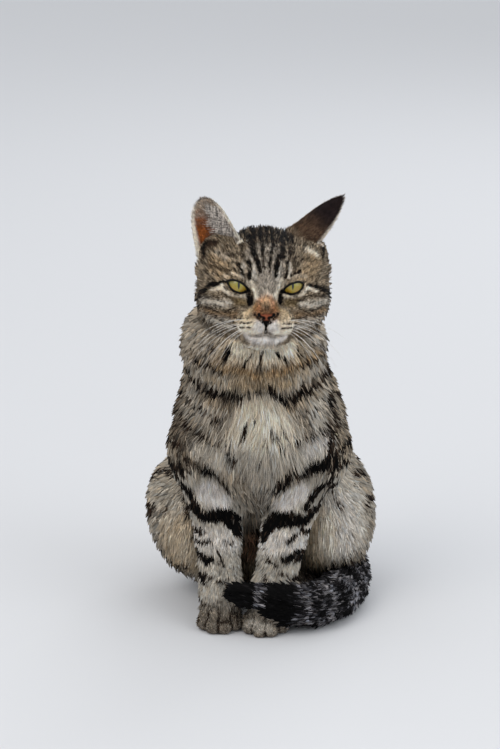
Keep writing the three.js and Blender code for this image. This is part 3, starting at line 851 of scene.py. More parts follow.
BODY_PAIRS = [
    ("buff", 0.9, 13, 13, 8, [(0, 252), (24, 252)]),
    ("cream", 0.9, 10, 10, 7, [(0, 252), (20, 252)]),
    ("tan", 0.9, 4.5, 4.5, 3, [(2, 231), (16, 233), (32, 237), (48, 243)]),
    ("buff", 0.5, 3, 3, 3, [(2, 229), (18, 230), (32, 234)]),
    ("gold", 0.35, 3.0, 3.0, 3, [(6, 232), (20, 235), (34, 239)]),
    ("buff", 0.75, 4, 4, 3, [(2, 222), (20, 222), (40, 228)]),
    ("pale", 0.5, 4, 4, 3, [(30, 224), (56, 236)]),
    ("tan", 0.5, 3.5, 3, 3, [(20, 201), (30, 201), (44, 206)]),
    ("cream", 1.0, 18, 14, 9, [(4, 190), (6, 168)]),
    ("cream", 0.7, 9, 9, 7, [(16, 184), (26, 166)]),
    ("pale", 0.9, 12, 10, 8, [(10, 152), (36, 156)]),
    ("pale", 0.7, 9, 8, 7, [(2, 142), (2, 122)]),
    ("grey", 0.8, 9, 7, 6, [(0, 118), (-6, 80)]),
    ("pale", 0.5, 6, 6, 6, [(44, 190), (56, 198)]),
]
BODY_SINGLES = [
    ("brown", 0.95, 6, 5, 5, [(-10, 64), (-11, 38)]),
    ("white", 1.0, 10, 10, 4, [(-46, 119), (-36, 112)]),
    ("white", 1.0, 10, 9, 4, [(20, 112), (31, 121)]),
    ("pale", 0.7, 9, 9, 6, [(-54, 158), (-40, 150)]),
    ("pale", 1.0, 11, 10, 6, [(52, 160), (42, 151)]),
    ("white", 0.6, 8, 7, 5, [(50, 167), (40, 160)]),
    ("pale", 0.8, 8, 6, 5, [(42, 198), (48, 176)]),
    # on the throat
    ("dark", 0.9, 1.0, 1.2, 1.0, [(1.5, 262), (1, 247), (-2, 236)]),
    ("dark", 0.85, 0.9, 1.6, 1.1, [(-10, 250), (-13, 243), (-16, 236)]),
    ("dark", 0.8, 1.1, 1.0, 1.2, [(11, 253), (15, 247), (21, 240)]),
    ("dark", 0.9, 2.4, 3.2, 2.6, [(-26, 254), (-30, 245)]),
    ("dark", 0.7, 2.0, 2.4, 2.4, [(29, 253), (33, 245)]),
    ("dark", 0.55, 2.4, 2.4, 2.4, [(-42, 252), (-50, 244)]),
    ("dark", 0.55, 2.4, 2.4, 2.4, [(44, 252), (51, 246)]),
    ("dark", 0.65, 2.8, 2.4, 2.4, [(-60, 242), (-46, 236), (-34, 232)]),
    ("dark", 0.6, 2.6, 2.4, 2.4, [(58, 244), (42, 236), (28, 234)]),
    # necklaces
    (
        "dark", 0.78, 3.6, 4.4, 3.6,
        [(-67, 228), (-60, 220), (-52, 214.5), (-43, 211.5), (-31, 208), (-21, 207.5)],
    ),
    ("dark", 0.75, 3.0, 1.8, 2.4, [(-21, 208), (-10, 211.5), (-3, 214)]),
    ("dark", 0.85, 2.0, 4.2, 2.8, [(5, 218), (12, 212), (20, 206)]),
    ("dark", 0.76, 4.2, 3.4, 3.6, [(20, 206), (28, 207), (38, 212), (50, 217), (60, 226)]),
    ("dark", 0.6, 3.2, 2.2, 3.0, [(-68, 202), (-56, 195), (-44, 190), (-34, 186)]),
    ("dark", 0.5, 3.0, 2.2, 3.0, [(62, 202), (50, 195), (38, 190)]),
    ("dark", 0.6, 4.4, 3.6, 4.0, [(-72, 185), (-64, 181), (-56, 175), (-46, 168)]),
    ("dark", 0.45, 3.4, 2.2, 3.0, [(-46, 168), (-36, 166), (-27, 164)]),
    ("dark", 0.6, 4.0, 2.4, 3.0, [(56, 176), (46, 173), (36, 170), (28, 168)]),
    ("dark", 0.9, 3.6, 3.4, 2.2, [(-28, 158), (-24.5, 153)]),
    ("dark", 0.8, 1.2, 1.0, 1.0, [(-6, 191), (-7, 184)]),
    ("dark", 0.85, 1.4, 1.0, 1.1, [(-13, 182), (-16.5, 171)]),
    ("dark", 0.7, 1.4, 1.0, 1.2, [(8, 178), (15, 168), (20, 159)]),
    ("dark", 0.6, 1.2, 1.0, 1.2, [(1, 174), (5, 162), (8, 152)]),
    ("dark", 0.5, 1.2, 1.0, 1.2, [(16, 180), (24, 170)]),
    ("dark", 0.5, 1.4, 1.2, 1.4, [(-3, 158), (-4, 146)]),
    # painted shade in a band down the left shoulder, where it turns back, and the side of the breast
    ("dark", 0.62, 4.6, 6.0, 4.5, [(58, 206), (59, 188), (59, 168), (58, 152), (56, 142)]),
    ("dark", 0.55, 4.4, 4.4, 4.0, [(-71, 182), (-73, 170), (-72, 158)]),
    ("umber", 0.5, 9, 8, 6, [(-70, 178), (-64, 160)]),
    # upper arms
    ("dark", 0.46, 4.6, 4.0, 3.4, [(-72, 154), (-66, 149), (-60, 144.5), (-51, 140)]),
    ("dark", 1.0, 4.0, 2.4, 1.8, [(-51, 140), (-42, 136), (-34, 131), (-28, 125)]),
    ("dark", 1.0, 3.0, 5.0, 1.8, [(13, 126), (17.5, 132), (24, 136), (32, 138.5)]),
    ("dark", 1.0, 5.2, 7.0, 2.4, [(32, 138.5), (41, 141), (50, 143), (60, 146)]),
    ("dark", 0.85, 5.0, 4.0, 2.6, [(-73, 128), (-66, 118), (-60, 110), (-55, 103)]),
    ("dark", 0.6, 4.0, 4.0, 3.0, [(-72, 142), (-66, 132)]),
    ("dark", 0.9, 3.6, 4.6, 2.4, [(38, 104), (44, 113), (52, 123), (60, 132)]),
    ("dark", 0.7, 3.0, 3.0, 2.2, [(52, 108), (60, 119)]),
    # elbows
    ("dark", 1.0, 3.6, 6.4, 1.8, [(-59, 99), (-51, 95.5), (-43, 96.5), (-37, 97)]),
    ("dark", 1.0, 7.0, 7.4, 1.8, [(-37, 97), (-29, 96.5), (-22, 89), (-20, 82)]),
    ("dark", 1.0, 6.6, 7.0, 1.8, [(1, 78), (5, 87), (11, 93.5), (19, 95.5)]),
    ("dark", 1.0, 7.0, 4.2, 1.8, [(19, 95.5), (28, 94), (37, 92), (43, 98)]),
    # forelegs
    ("dark", 0.85, 1.8, 2.0, 1.4, [(-60, 77), (-53, 74), (-46, 75)]),
    ("dark", 1.0, 3.4, 3.0, 1.4, [(-59, 68), (-54, 62), (-48, 58.5), (-43, 61)]),
    ("dark", 0.7, 1.8, 1.6, 1.4, [(-38, 68), (-34, 61), (-33, 54)]),
    ("dark", 0.7, 1.8, 1.8, 1.6, [(-52, 47), (-42, 46)]),
    ("dark", 0.6, 1.6, 1.6, 1.4, [(-37, 43), (-28, 40)]),
    ("dark", 0.6, 1.6, 1.6, 1.4, [(-32, 75), (-26, 70)]),
    ("dark", 0.8, 2.0, 2.2, 1.4, [(20, 76), (28, 78), (36, 84)]),
    ("dark", 1.0, 2.8, 3.0, 1.4, [(19, 61), (26, 63.5), (32, 67)]),
    ("dark", 0.7, 1.6, 1.8, 1.4, [(4, 61), (12, 58)]),
    ("dark", 0.45, 1.6, 1.8, 1.6, [(14, 50), (23, 49)]),
    ("dark", 0.6, 1.6, 1.6, 1.4, [(1, 48), (8, 44)]),
    # haunches: pale and buff areas, then painted shade along the lower edges
    ("pale", 1.0, 20, 23, 8, [(74, 104), (75, 62)]),
    ("white", 0.45, 10, 14, 8, [(72, 96), (72, 58)]),
    ("pale", 0.5, 9, 11, 7, [(-72, 92), (-72, 52)]),
    ("cream", 0.6, 6, 8, 5, [(60, 84), (57, 52)]),
    ("buff", 0.8, 8, 10, 7, [(-69, 74), (-70, 46)]),
    ("cream", 0.5, 6, 9, 6, [(-67, 72), (-68, 44)]),
    ("dark", 0.6, 4.0, 4.0, 4.0, [(-66, 100), (-64, 86)]),
    ("dark", 0.35, 3.4, 3.4, 3.0, [(64, 104), (70, 92)]),
    ("dark", 0.2, 3.4, 3.4, 3.4, [(84, 108), (90, 92)]),
    ("dark", 0.75, 3.2, 2.8, 3.0, [(-93, 48), (-86, 40), (-76, 35), (-66, 32)]),
    ("dark", 0.3, 2.6, 3.2, 3.2, [(40, 27), (50, 31), (60, 37), (70, 43), (80, 48), (91, 56)]),
    # the toes of the left forepaw, the paler one
    ("pale", 0.6, 5, 4, 2.5, [(-9, 12), (-2, 10), (6, 8)]),
    # painted shade on the right forepaw, under the tip of the tail
    ("dark", 0.55, 3.5, 3.5, 4, [(-23, 20), (-21, 10)]),
]


def blend(base, colour, share):
    return base + (np.asarray(colour) - base) * np.asarray(share)[:, None]


def striped(colours, dark, palette, places):
    """Colours with their stripes and painted shade: brown where faint, black where strong and all over the
    tail.
    """
    tail = smooth(regions(places)["tail"], 4, 0)[:, None]
    faint = mix(palette["umber"], palette["slate"], tail)
    colours = colours + (faint - colours) * smooth(dark, 0.18, 0.5)[:, None]
    return blend(colours, palette["stripe"], smooth(dark, 0.45, 0.82))


def brushed(p, normals, c, dark, strokes, palette):
    """Colours and darkness after a set of brush strokes, the dark ones broken up a little."""
    breaks = 1 - 0.4 * smooth(ripple(p * [1, 0.7, 0.7], 4.5, 91), 0.2, 1.1)
    for colour, strength, start, end, soft, path in strokes:
        share = strength * stroke(p, normals, path, start, end, soft)
        if colour == "dark":
            dark = np.maximum(dark, share * breaks)
        else:
            c = blend(c, palette[colour], share)
            dark = dark * (1 - 0.8 * share)
    return c, dark


def dropped(shape, strokes):
    """Strokes with their paths laid on the front of a shape."""
    return [(*rest, front_at(shape, path, -128.0, 70.0, 1.0)) for *rest, path in strokes]


def fold_normals(p, normals):
    return normals * np.stack([np.where(p[:, 0] < 0, -1, 1), np.ones(len(p)), np.ones(len(p))], 1)


def head_colours(places, normals, palette):
    """The coat's colour on the head, and how black its stripes and painted shade are."""
    q, n = to_head(places), normals @ HEAD_TURN
    x, y, z = q.T
    c = np.tile(palette["ground"], (len(q), 1))
    dark = np.zeros(len(q))
    wander = 0.7 * drift(q, 8, 21) + 0.35 * drift(q, 2.6, 24)
    nape = smooth(y, 8, 24)
    crown = smooth(z + 0.15 * y + 1.3 * np.maximum(y - 8, 0), 31, 40)
    crown = crown * smooth(np.abs(x), mix(34, 26, nape), mix(20, 8, nape))
    waves = np.sin(x * 1.15 + 1.6 * ripple(q * [1, 0.35, 0.35], 9, 31))
    dark = np.maximum(dark, crown * (0.66 + 0.3 * waves))
    flecks = smooth(ripple(q * [1.5, 0.7, 0.6], 3.2, 35), 0.1, 0.9)
    flecks = flecks * smooth(y, -50, -36) * smooth(z, -34, -14)
    dark = np.maximum(dark, mix(0.40, 0.55, smooth(z, 8, 20) * smooth(np.abs(x), 40, 20)) * flecks)
    c, dark = brushed(fold(q + wander * 0.6), fold_normals(q, n), c, dark, FACE_PAIRS, palette)
    wander = wander * 0.6 + 0.35 * drift(q, 1.6, 27)
    c, dark = brushed(q + wander, n, c, dark, FACE_SINGLES, palette)
    under = smooth(z, -43, -48) * smooth(np.abs(x), 34, 22) * smooth(y, -14, -26)
    c, dark = blend(c, palette["cream"], 0.85 * under), dark * (1 - under)
    grain = ripple(q * [1, 0.7, 0.7], 1.9, 36) * smooth(z, -36, -24) * smooth(nose_field(q), 1, 8)
    beard = ripple(q * [1.3, 0.4, 0.3], 3.0, 37) * smooth(z, -35, -40)
    c = c * np.exp(0.34 * grain + 0.22 * beard)[:, None]
    dark = np.maximum(dark, 0.5 * smooth(grain, -0.55, -1.2) * smooth(y, -46, -36))
    m = fold(q)
    lines = (
        smooth(past_lids(q), 2.0, 1.0) * (y < BEFORE_EYES),
        0.9 * smooth(path_field(m, LIPS[:3], 0.9), 1.0, -0.6),
        # painted shade along the mouth's crease, out from the black middle of the lip line
        0.30 * smooth(path_field(m, LIPS[1:4], 1.2), 1.4, -0.6),
        smooth(path_field(m, PHILTRUM, 1.7), 0.7, -0.3),
        smooth(path_field(m, NOSE_SIDE, 1.1), 0.7, -0.3),
        smooth(nose_field(q) - 0.7, 0.6, -0.2) * smooth(z - NOSE_TIP[2], 2.0, -1.0),
    )
    return c, np.maximum(dark, np.max(lines, 0))


def body_colours(p, normals, palette):
    """The coat's colour on the neck, trunk and legs, for places measured from the floor point."""
    x, y, z = p.T
    side = np.abs(x)
    wander = 1.5 * drift(p, 14, 41) + 0.8 * drift(p, 4, 44)
    c = np.tile(palette["ground"], (len(p), 1))
    front = smooth(y, -14, -50)
    c = blend(c, palette["pale"], 0.35 * front)
    dark = 0.30 * smooth(ripple(p * [1, 1, 0.5], 5, 47), 0.3, 1.1) * (1 - 0.6 * front)
    back = smooth(y, -46, -14)
    bands = np.sin((z - 0.30 * y + 6 * ripple(p, 60, 51)) * 2 * math.pi / 25 + 0.9)
    dark = np.maximum(dark, 0.72 * smooth(bands, 0.2, 0.8) * back * smooth(z, 20, 60))
    spine = smooth(side + 3 * ripple(p, 30, 52), 12, 5) * smooth(y, 0, 30) * smooth(z, 60, 110)
    return brushed_body(p + wander, normals, c, np.maximum(dark, 0.85 * spine), palette)


def brushed_body(p, normals, c, dark, palette):
    c, dark = brushed(fold(p), fold_normals(p, normals), c, dark, BODY_PAIRS, palette)
    return brushed(p, normals, c, dark, BODY_SINGLES, palette)


def limb_colours(p, normals, name, palette):
    """A leg's own colours, for places measured from the floor point."""
    _, y, z = p.T
    side = side_of(name)
    if name.startswith("thigh"):
        c = np.tile(palette["haunch"], (len(p), 1))
        low = smooth(ellipsoid(p, (side * 62 - 3, -22, 56), (24, 30, 34)), 12, -8)
        c = blend(c, palette["buff"], 0.6 * low)
        away = np.linalg.norm(p - [side * 70, 10, 62], axis=1)
        rings = np.sin(away * 2 * math.pi / 17 + 1.3 * ripple(p, 34, 61))
        dark = 0.5 * smooth(rings, 0.2, 0.9) * smooth(y, -26, 10)
        dark = np.maximum(dark, 0.32 * smooth(ripple(p * [1, 1, 0.6], 7, 62), 0.2, 1.0) * (1 - 0.8 * low))
    elif name.startswith("foreleg"):
        c = np.tile(palette["leg"], (len(p), 1))
        c = blend(c, palette["ground"], 0.8 * smooth(z, 122, 150))
        c = blend(c, palette["white"], 0.6 * smooth(np.abs(z - 76), 14, 6))
        dark = 0.30 * smooth(ripple(p * [1, 1, 1.6], 5, 63), 0.3, 1.2) * smooth(z, 92, 70)
        outer = smooth(side * normals[:, 0], 0.35, 0.85)
        bands = np.sin(z * 2 * math.pi / 19 + 0.8 * ripple(p, 20, 64))
        dark = np.maximum(dark, 0.7 * outer * smooth(bands, 0.1, 0.8))
    else:
        c = np.tile(palette["paw"], (len(p), 1))
        dark = 0.45 * smooth(ripple(p, 5, 65) + ripple(p, 14, 66), 0.3, 1.4)
        own_side = name.rsplit("_", 1)[1]
        if name.startswith("forepaw"):
            leg = LEGS[own_side]
            gaps = toe_gaps(p, leg["paw"], leg["heading"], *FOREPAW)
        else:
            gaps = toe_gaps(p, HIND_FEET[own_side]["toes"], 0, *HIND_PAW)
        # painted shade in the grooves between the toes
        dark = np.maximum(dark, 0.75 * gaps)
    return c, dark


def tail_colours(p, palette):
    """The tail's own colours: narrow rings, then a black band, a pale gap and a black tip."""
    _, share, _ = along_tail(p)
    c = np.tile(palette["tail"], (len(p), 1))
    rings = np.sin(share * 2 * math.pi * 12.5 + 0.7 * ripple(p, 18, 71) + 1.0)
    dark = 0.30 + 0.42 * smooth(rings, -0.8, 0.8) + 0.3 * ripple(p * [1, 1, 1.5], 5, 73)
    dark = mix(dark, 1.0, smooth(share, 0.76, 0.80))
    gap = smooth(np.abs(share - 0.905 + 0.008 * ripple(p, 6, 72)), 0.018, 0.006)
    return c, np.clip(dark, 0, 1) * (1 - 0.8 * gap)


def shares_of(found, softness):
    """How much of each place belongs to each region, the most to the nearest."""
    distances = np.stack(list(found.values()), 1)
    weights = np.exp(-(distances - distances.min(1, keepdims=True)) / softness)
    return weights / weights.sum(1, keepdims=True)


def coat_colours(places, normals, palette):
    """The coat's colour at each place of the skin, without its stripes and painted shade, and how black they
    are there.
    """
    found = regions(places)
    sunk = np.minimum(np.min(list(found.values()), 0), 0)
    places = places - normals * sunk[:, None]
    p = places - HOME
    shares = dict(zip(found, shares_of(found, 2.0).T))
    c, dark = body_colours(p, normals, palette)

    def lay_on(here, share, own, own_dark):
        c[here] = blend(c[here], own, share[here])
        dark[here] = mix(dark[here], own_dark, share[here])

    for name, share in shares.items():
        if name not in ("torso", "head", "tail"):
            here = share > 0.02
            own, own_dark = limb_colours(p[here], normals[here], name, palette)
            wander = 1.2 * drift(p[here], 12, 81) + 0.8 * drift(p[here], 4, 84)
            lay_on(here, share, *brushed_body(p[here] + wander, normals[here], own, own_dark, palette))
    share = smooth(shares["head"], 0.25, 0.75)
    here = share > 0
    lay_on(here, share, *head_colours(places[here], normals[here], palette))
    share = smooth(shares["tail"], 0.25, 0.75)
    here = share > 0
    lay_on(here, share, *tail_colours(p[here], palette))
    for name in EARS:
        on, rise, across, level = ear_share(places + normals * sunk[:, None], name)
        own, own_dark = ear_colours(name, rise[on], across[on], level[on], palette)
        c[on], dark[on] = own, own_dark
    return c, np.clip(dark, 0, 1)


def ear_colours(name, rise, across, level, palette):
    """An ear's colours: the back dark at the tip, the hollow rust on its outer side, paler at the tip and
    with painted shade deep in it near the root.
    """
    count = len(rise)
    outer = -across * ear_inner_side(name)
    if name == "left":
        own = np.tile(palette["ear_back"], (count, 1))
        own = blend(own, palette["ear_brown"], smooth(rise, 0.62, 0.25))
        own = blend(own, palette["ground"], 0.6 * smooth(rise, 0.2, 0.02))
    else:
        own = blend(np.tile(palette["ear_back"], (count, 1)), palette["ground"], smooth(rise, 0.75, 0.2))
    hollow = level > 0
    inside = np.tile(palette["ear_inside"], (count, 1))
    inside = blend(inside, palette["ear_tip"], smooth(rise, 0.62, 0.8))
    streaks = 0.12 * np.sin(rise * 47 + 3 * across) + 0.10 * np.sin(rise * 91)
    band = smooth(outer + streaks, -0.1, 0.45) * smooth(outer, 1.0, 0.7)
    band = band * smooth(rise + streaks * 0.5, 0.86, 0.55)
    inside = blend(inside, palette["ear_rust"], band)
    # painted shade deep in the hollow near the root
    inside = blend(inside, palette["umber"], smooth(rise, 0.26, 0.1))
    own[hollow] = inside[hollow]
    rim = smooth(np.abs(across), 0.74, 0.9) if name == "right" else 0.6 * smooth(np.abs(across), 0.74, 0.88)
    own = blend(own, palette["ear_rim"], rim)
    return own, np.zeros(count)


FACE_PAIRS, FACE_SINGLES = dropped(face_shape, FACE_PAIRS), dropped(face_shape, FACE_SINGLES)
BODY_PAIRS, BODY_SINGLES = dropped(body_shape, BODY_PAIRS), dropped(body_shape, BODY_SINGLES)


# ---------------------------------------------------------------- lie of the coat

PATCH = 0.003  # size of one tuft's patch on its map

# For each part: tuft length, width and how high its tip stands over the skin.
FACE_TUFTS, NAPE_TUFTS = vec(2.9, 0.38, 0.65), vec(8.0, 0.55, 2.8)
BEARD_TUFTS, MUZZLE_TUFTS = vec(9.0, 0.48, 3.2), vec(2.2, 0.36, 0.45)
EAR_TUFTS = vec(3.4, 0.42, 0.75)
TUFTS = {
    "torso": (12.5, 0.62, 4.8),
    "thigh": (11.0, 0.62, 4.4),
    "foreleg": (7.0, 0.52, 2.3),
    "forepaw": (2.8, 0.5, 0.6),
    "hind_foot": (5.0, 0.55, 1.3),
    "tail": (11.0, 0.52, 4.0),
}


def lie_on_head(q):
    """The way of the coat on the head, out from the nose and down over the cheeks, and its tufts' sizes."""
    _, y, z = q.T
    droop = -0.55 * smooth(z, 12, -22) * smooth(y, -46, -12)
    flow = unit(q - NOSE - [0, -3, 2]) + np.stack([0 * y, 0.25 * smooth(y, -40, 0), droop], 1)
    size = mix(FACE_TUFTS, NAPE_TUFTS, smooth(y, -46, 4)[:, None])
    ruff = smooth(z, 8, -16) * smooth(y, -34, -10)
    size = size + ruff[:, None] * [2.5, -0.02, 0.7]
    size = mix(size, BEARD_TUFTS, smooth(z, -35, -44)[:, None])
    muzzle = smooth(ellipsoid(fold(q), (10, -50, -27), (14, 13, 10)), 4, -2)
    return flow @ HEAD_TURN.T, mix(size, MUZZLE_TUFTS, muzzle[:, None])


def lie_on_body(p, name):
    """The way of the coat on a region of the body, and its tufts' sizes."""
    x, y, z = p.T
    side, none = side_of(name), 0 * x
    kind = name.rsplit("_", 1)[0] if name.endswith(("right", "left")) else name
    size = np.tile(TUFTS[kind], (len(p), 1))
    if kind == "torso":
        fan = 0.012 * x * smooth(z, 130, 170) - 0.016 * x * smooth(z, 150, 110) * smooth(y, -30, -60)
        flow = np.stack([fan, 0.28 * smooth(y, -70, 10), none - 1], 1)
        breast = smooth(y, -40, -75) * smooth(z, 235, 190) * smooth(np.abs(x), 48, 20)
        size = size + breast[:, None] * vec(7.0, 0.06, 1.5)
        size = size - smooth(z, 200, 250)[:, None] * vec(3.0, 0.05, 1.0)
    elif kind == "tail":
        _, _, flow = along_tail(p)
    elif kind == "foreleg":
        leg = LEGS[name.split("_")[1]]
        down = unit(vec(*leg["wrist"]) - leg["shoulder"])
        flow = down + np.stack([none + side * 0.10, 0.25 * smooth(y, -60, -30), none], 1)
        size = size + smooth(z, 95, 145)[:, None] * vec(5.0, 0.1, 2.4)
    elif kind == "thigh":
        flow = np.stack([none + side * 0.12, none + 0.30, none - 1], 1)
    else:
        flow = np.tile(vec(0, -1.0, -0.25), (len(p), 1))
    return flow, size


def lie_of_coat(places, found):
    """Which way the coat lies at each place, and its tufts' length, width and height."""
    q = to_head(places)
    way, size = np.zeros((len(q), 3)), np.zeros((len(q), 3))
    for name, share in zip(found, shares_of(found, 3.5).T):
        flow, own = lie_on_head(q) if name == "head" else lie_on_body(places - HOME, name)
        way += share[:, None] * unit(flow)
        size += share[:, None] * own
    depth = np.maximum(-np.min(list(found.values()), 0), 0)
    size[:, 2] = np.maximum(size[:, 2], depth)
    by_ear = smooth(np.linalg.norm(fold(q) - EAR_ROOT, axis=1), 24, 12)
    return unit(way), size * (1 - by_ear[:, None] * [0.35, 0.2, 0.3])


def patchwork(p, size, seed):
    """For each place the middle of the lock of hair it belongs to."""
    rng = np.random.default_rng(seed)
    offsets = rng.uniform(-0.3, 0.3, (4096, 3))
    warped = p / size + 0.35 * drift(p, size * 3, seed)
    cell = np.floor(warped)
    # three large primes spread the cells evenly over the offsets
    key = (cell.astype(np.int64) * [73856093, 19349663, 83492791]).sum(1) & 4095
    return (cell + 0.5 + offsets[key] - (warped - p / size)) * size


def tuft_points(roots, normals, way, size, seed, field=None):
    """The corners of each tuft, a thin blade bent at its middle: root, left, right and tip."""
    rng = np.random.default_rng(seed)
    count = len(roots)
    length = size[:, 0] * rng.uniform(0.7, 1.2, count)
    width = size[:, 1] * rng.uniform(0.7, 1.2, count)
    stray = rng.uniform(0, 1, count) < 0.15
    width = np.where(stray, 0.5, 1.0) * width
    height = size[:, 2] * rng.uniform(0.4, 1.1, count) * np.where(stray, 1.5, 1.0)
    way = unit(way + rng.normal(0, 0.13, (count, 3)) + 0.16 * drift(roots, 26, seed))
    along = unit(way - normals * (way * normals).sum(1, keepdims=True))
    middle = roots + along * (length * 0.42)[:, None] + normals * (height * 0.8)[:, None]
    tip = roots + along * length[:, None] + normals * height[:, None]
    pull = patchwork(roots, 7.0, seed) - roots
    pull -= normals * (pull * normals).sum(1, keepdims=True)
    pull -= along * (pull * along).sum(1, keepdims=True)
    gather = np.clip((size[:, 0] - 5) / 24, 0.06, 0.5)[:, None]
    middle += pull * gather * 0.35
    tip += pull * gather * 0.9
    if field is not None:
        middle += normals * np.clip(height * 0.8 - field(middle), -4, 2.5)[:, None]
        tip += normals * np.clip(height - field(tip), -7, 3.5)[:, None]
    across = unit(np.cross(normals, along)) * (width / 2)[:, None]
    tip[:, 2] = np.maximum(tip[:, 2], FLOOR_GAP)
    middle[:, 2] = np.maximum(middle[:, 2], 2 * FLOOR_GAP)
    return np.stack([roots - normals * 0.5, middle - across, middle + across, tip], 1)


def tuft_mesh(name, points, normals, colours, unwrapped, seed):
    """One mesh of a piece's tufts, four faces each, painted, mapped and lit as the surface below."""
    rng = np.random.default_rng(seed)
    pattern = np.array([(0, 1, 2), (3, 2, 1), (0, 3, 1), (0, 2, 3)])
    faces = (np.arange(len(points))[:, None, None] * 4 + pattern).reshape(-1, 3)
    obj = new_mesh(name, points.reshape(-1, 3), faces)
    paint(obj.data, "tint", np.clip(tint_of(colours, rng).reshape(-1, 3), 0, 1))
    along = unit(points[:, 3] - points[:, 0])
    across = unit(points[:, 2] - points[:, 1])
    facing = normals + 0.30 * along + rng.normal(0, 0.10, normals.shape)
    leaning = (-0.3 * along, -0.3 * across, 0.3 * across, 0.2 * along)
    facing = np.stack([facing + lean for lean in leaning], 1)
    obj.data.normals_split_custom_set_from_vertices(unit(facing.reshape(-1, 3)))
    layer = obj.data.uv_layers.new(name="OFBake")
    patch = np.array([(0.5, 0.0), (0.0, 0.45), (1.0, 0.45), (0.5, 1.0)]) * PATCH
    spots = (unwrapped[:, None, :] + patch).reshape(-1, 2)
    layer.data.foreach_set("uv", spots[faces.ravel()].astype(np.float32).ravel())
    return obj


def tint_of(colours, rng):
    """Colours for the four corners of each tuft: dark at the root as painted shade among the tufts, with pale
    or black ticking at the tip.
    """
    count = len(colours)
    brightness = colours.mean(1)
    spread = mix(0.42, 0.17, smooth(brightness, 0.2, 0.5)) * smooth(brightness, 0.0, 0.08)
    ticked = rng.uniform(0, 1, count) < 0.34 * smooth(brightness, 0.5, 0.2)
    tone = np.exp(rng.normal(0, 1, count) * spread) * np.where(ticked, 0.6, 1.0)
    tip = np.where(ticked, 0.30, rng.uniform(0.95, 1.3, count))
    # the root corner is painted at 0.6 as shade where the tufts crowd the skin
    light = np.stack([np.full(count, 0.6), tone, tone, tone * tip], 1)
    warmth = 1 + rng.normal(0, 0.035, (count, 1, 1)) * np.array([1, 0, -1.2])
    return colours[:, None, :] * light[:, :, None] * warmth


def unwrap(roots, kind):
    """Places on a map of the skin: round and along each part's own middle line, filling the map."""
    p = roots - HOME
    if kind == "tail":
        _, share, way = along_tail(p)
        i = np.clip((share * TAIL_STEPS).astype(int), 0, TAIL_STEPS - 1)
        out = p - TAIL_POINTS[i]
        level = unit(np.cross(way, [0, 0, 1.0]))
        flat = np.stack([np.arctan2(out[:, 2], (out * level).sum(1)), share], 1)
    else:
        start, end, front = (vec(*v) for v in MIDDLE_LINES[kind])
        axis = unit(end - start)
        front = unit(front - axis * (front @ axis))
        r = p - start
        up = r @ axis
        flat = np.stack([np.arctan2(r @ np.cross(axis, front), r @ front), up], 1)
    low, high = flat.min(0), flat.max(0)
    return 0.01 + 0.97 * (flat - low) / np.maximum(high - low, 1e-6)


# For each kind of piece: a middle line's start and end, and the way that the map's middle faces.
MIDDLE_LINES = {
    "face": ((1, -40, 262), (1, -50, 345), (0, -1, 0)),
    "crown": ((1, -60, 262), (1, -60, 345), (0, 1, 0)),
    "ear_right": ((-30, -50, 320), (-52, -50, 375), (0, -1, 0)),
    "ear_left": ((30, -50, 330), (68, -45, 375), (0, -1, 0)),
    "neck": ((-2, -20, 180), (-4, -45, 265), (0, -1, 0)),
    "breast": ((0, 0, 60), (0, -20, 200), (0, -1, 0)),
    "back": ((4, 30, 0), (-3, -30, 210), (0, 1, 0)),
    "foreleg_right": ((-36, -72, 0), (-48, -34, 160), (0, -1, 0)),
    "foreleg_left": ((4, -80, 0), (42, -34, 160), (0, -1, 0)),
    "haunch_right": ((-58, 30, 0), (-58, 30, 120), (-1, -1, 0)),
    "haunch_left": ((58, 30, 0), (58, 30, 120), (1, -1, 0)),
}

# For each coat piece: its share of the tufts, its material slot and what its map is made round.
COAT_PIECES = {
    "coat_face_right": (24.0, "coat", "face"),
    "coat_face_left": (24.0, "coat", "face"),
    "coat_crown": (27.0, "coat", "crown"),
    "coat_ear_right": (4.0, "coat_dark", "ear_right"),
    "coat_ear_left": (4.0, "coat_dark", "ear_left"),
    "coat_neck": (27.0, "coat", "neck"),
    "coat_breast": (26.0, "coat_pale", "breast"),
    "coat_back": (19.0, "coat", "back"),
    "coat_foreleg_right": (17.0, "coat_pale", "foreleg_right"),
    "coat_foreleg_left": (17.0, "coat_pale", "foreleg_left"),
    "coat_haunch_right": (15.0, "coat", "haunch_right"),
    "coat_haunch_left": (15.0, "coat", "haunch_left"),
    "coat_tail": (19.0, "coat_dark", "tail"),
}


def piece_of(places, found):
    """The number of the coat piece that each place belongs to."""
    p, q = places - HOME, to_head(places)
    names = list(found)
    nearest = np.argmin(np.stack([found[n] for n in names], 1), 1)
    pieces = list(COAT_PIECES)
    chosen = np.zeros(len(p), int)
    for i, name in enumerate(names):
        here = nearest == i
        side = name.rsplit("_", 1)[-1]
        if name == "head":
            half = np.where(q[here, 0] < 0, pieces.index("coat_face_right"), pieces.index("coat_face_left"))
            chosen[here] = np.where(q[here, 1] < -22, half, pieces.index("coat_crown"))
        elif name == "torso":
            lower = np.where(p[here, 1] < -22, pieces.index("coat_breast"), pieces.index("coat_back"))
            chosen[here] = np.where(p[here, 2] > 196, pieces.index("coat_neck"), lower)
        elif name == "tail":
            chosen[here] = pieces.index("coat_tail")
        else:
            limb_name = "coat_foreleg_" if name.startswith("fore") else "coat_haunch_"
            chosen[here] = pieces.index(limb_name + side)
    for name in EARS:
        on = ear_share(places, name)[0]
        chosen[on] = pieces.index("coat_ear_" + name)
    return chosen


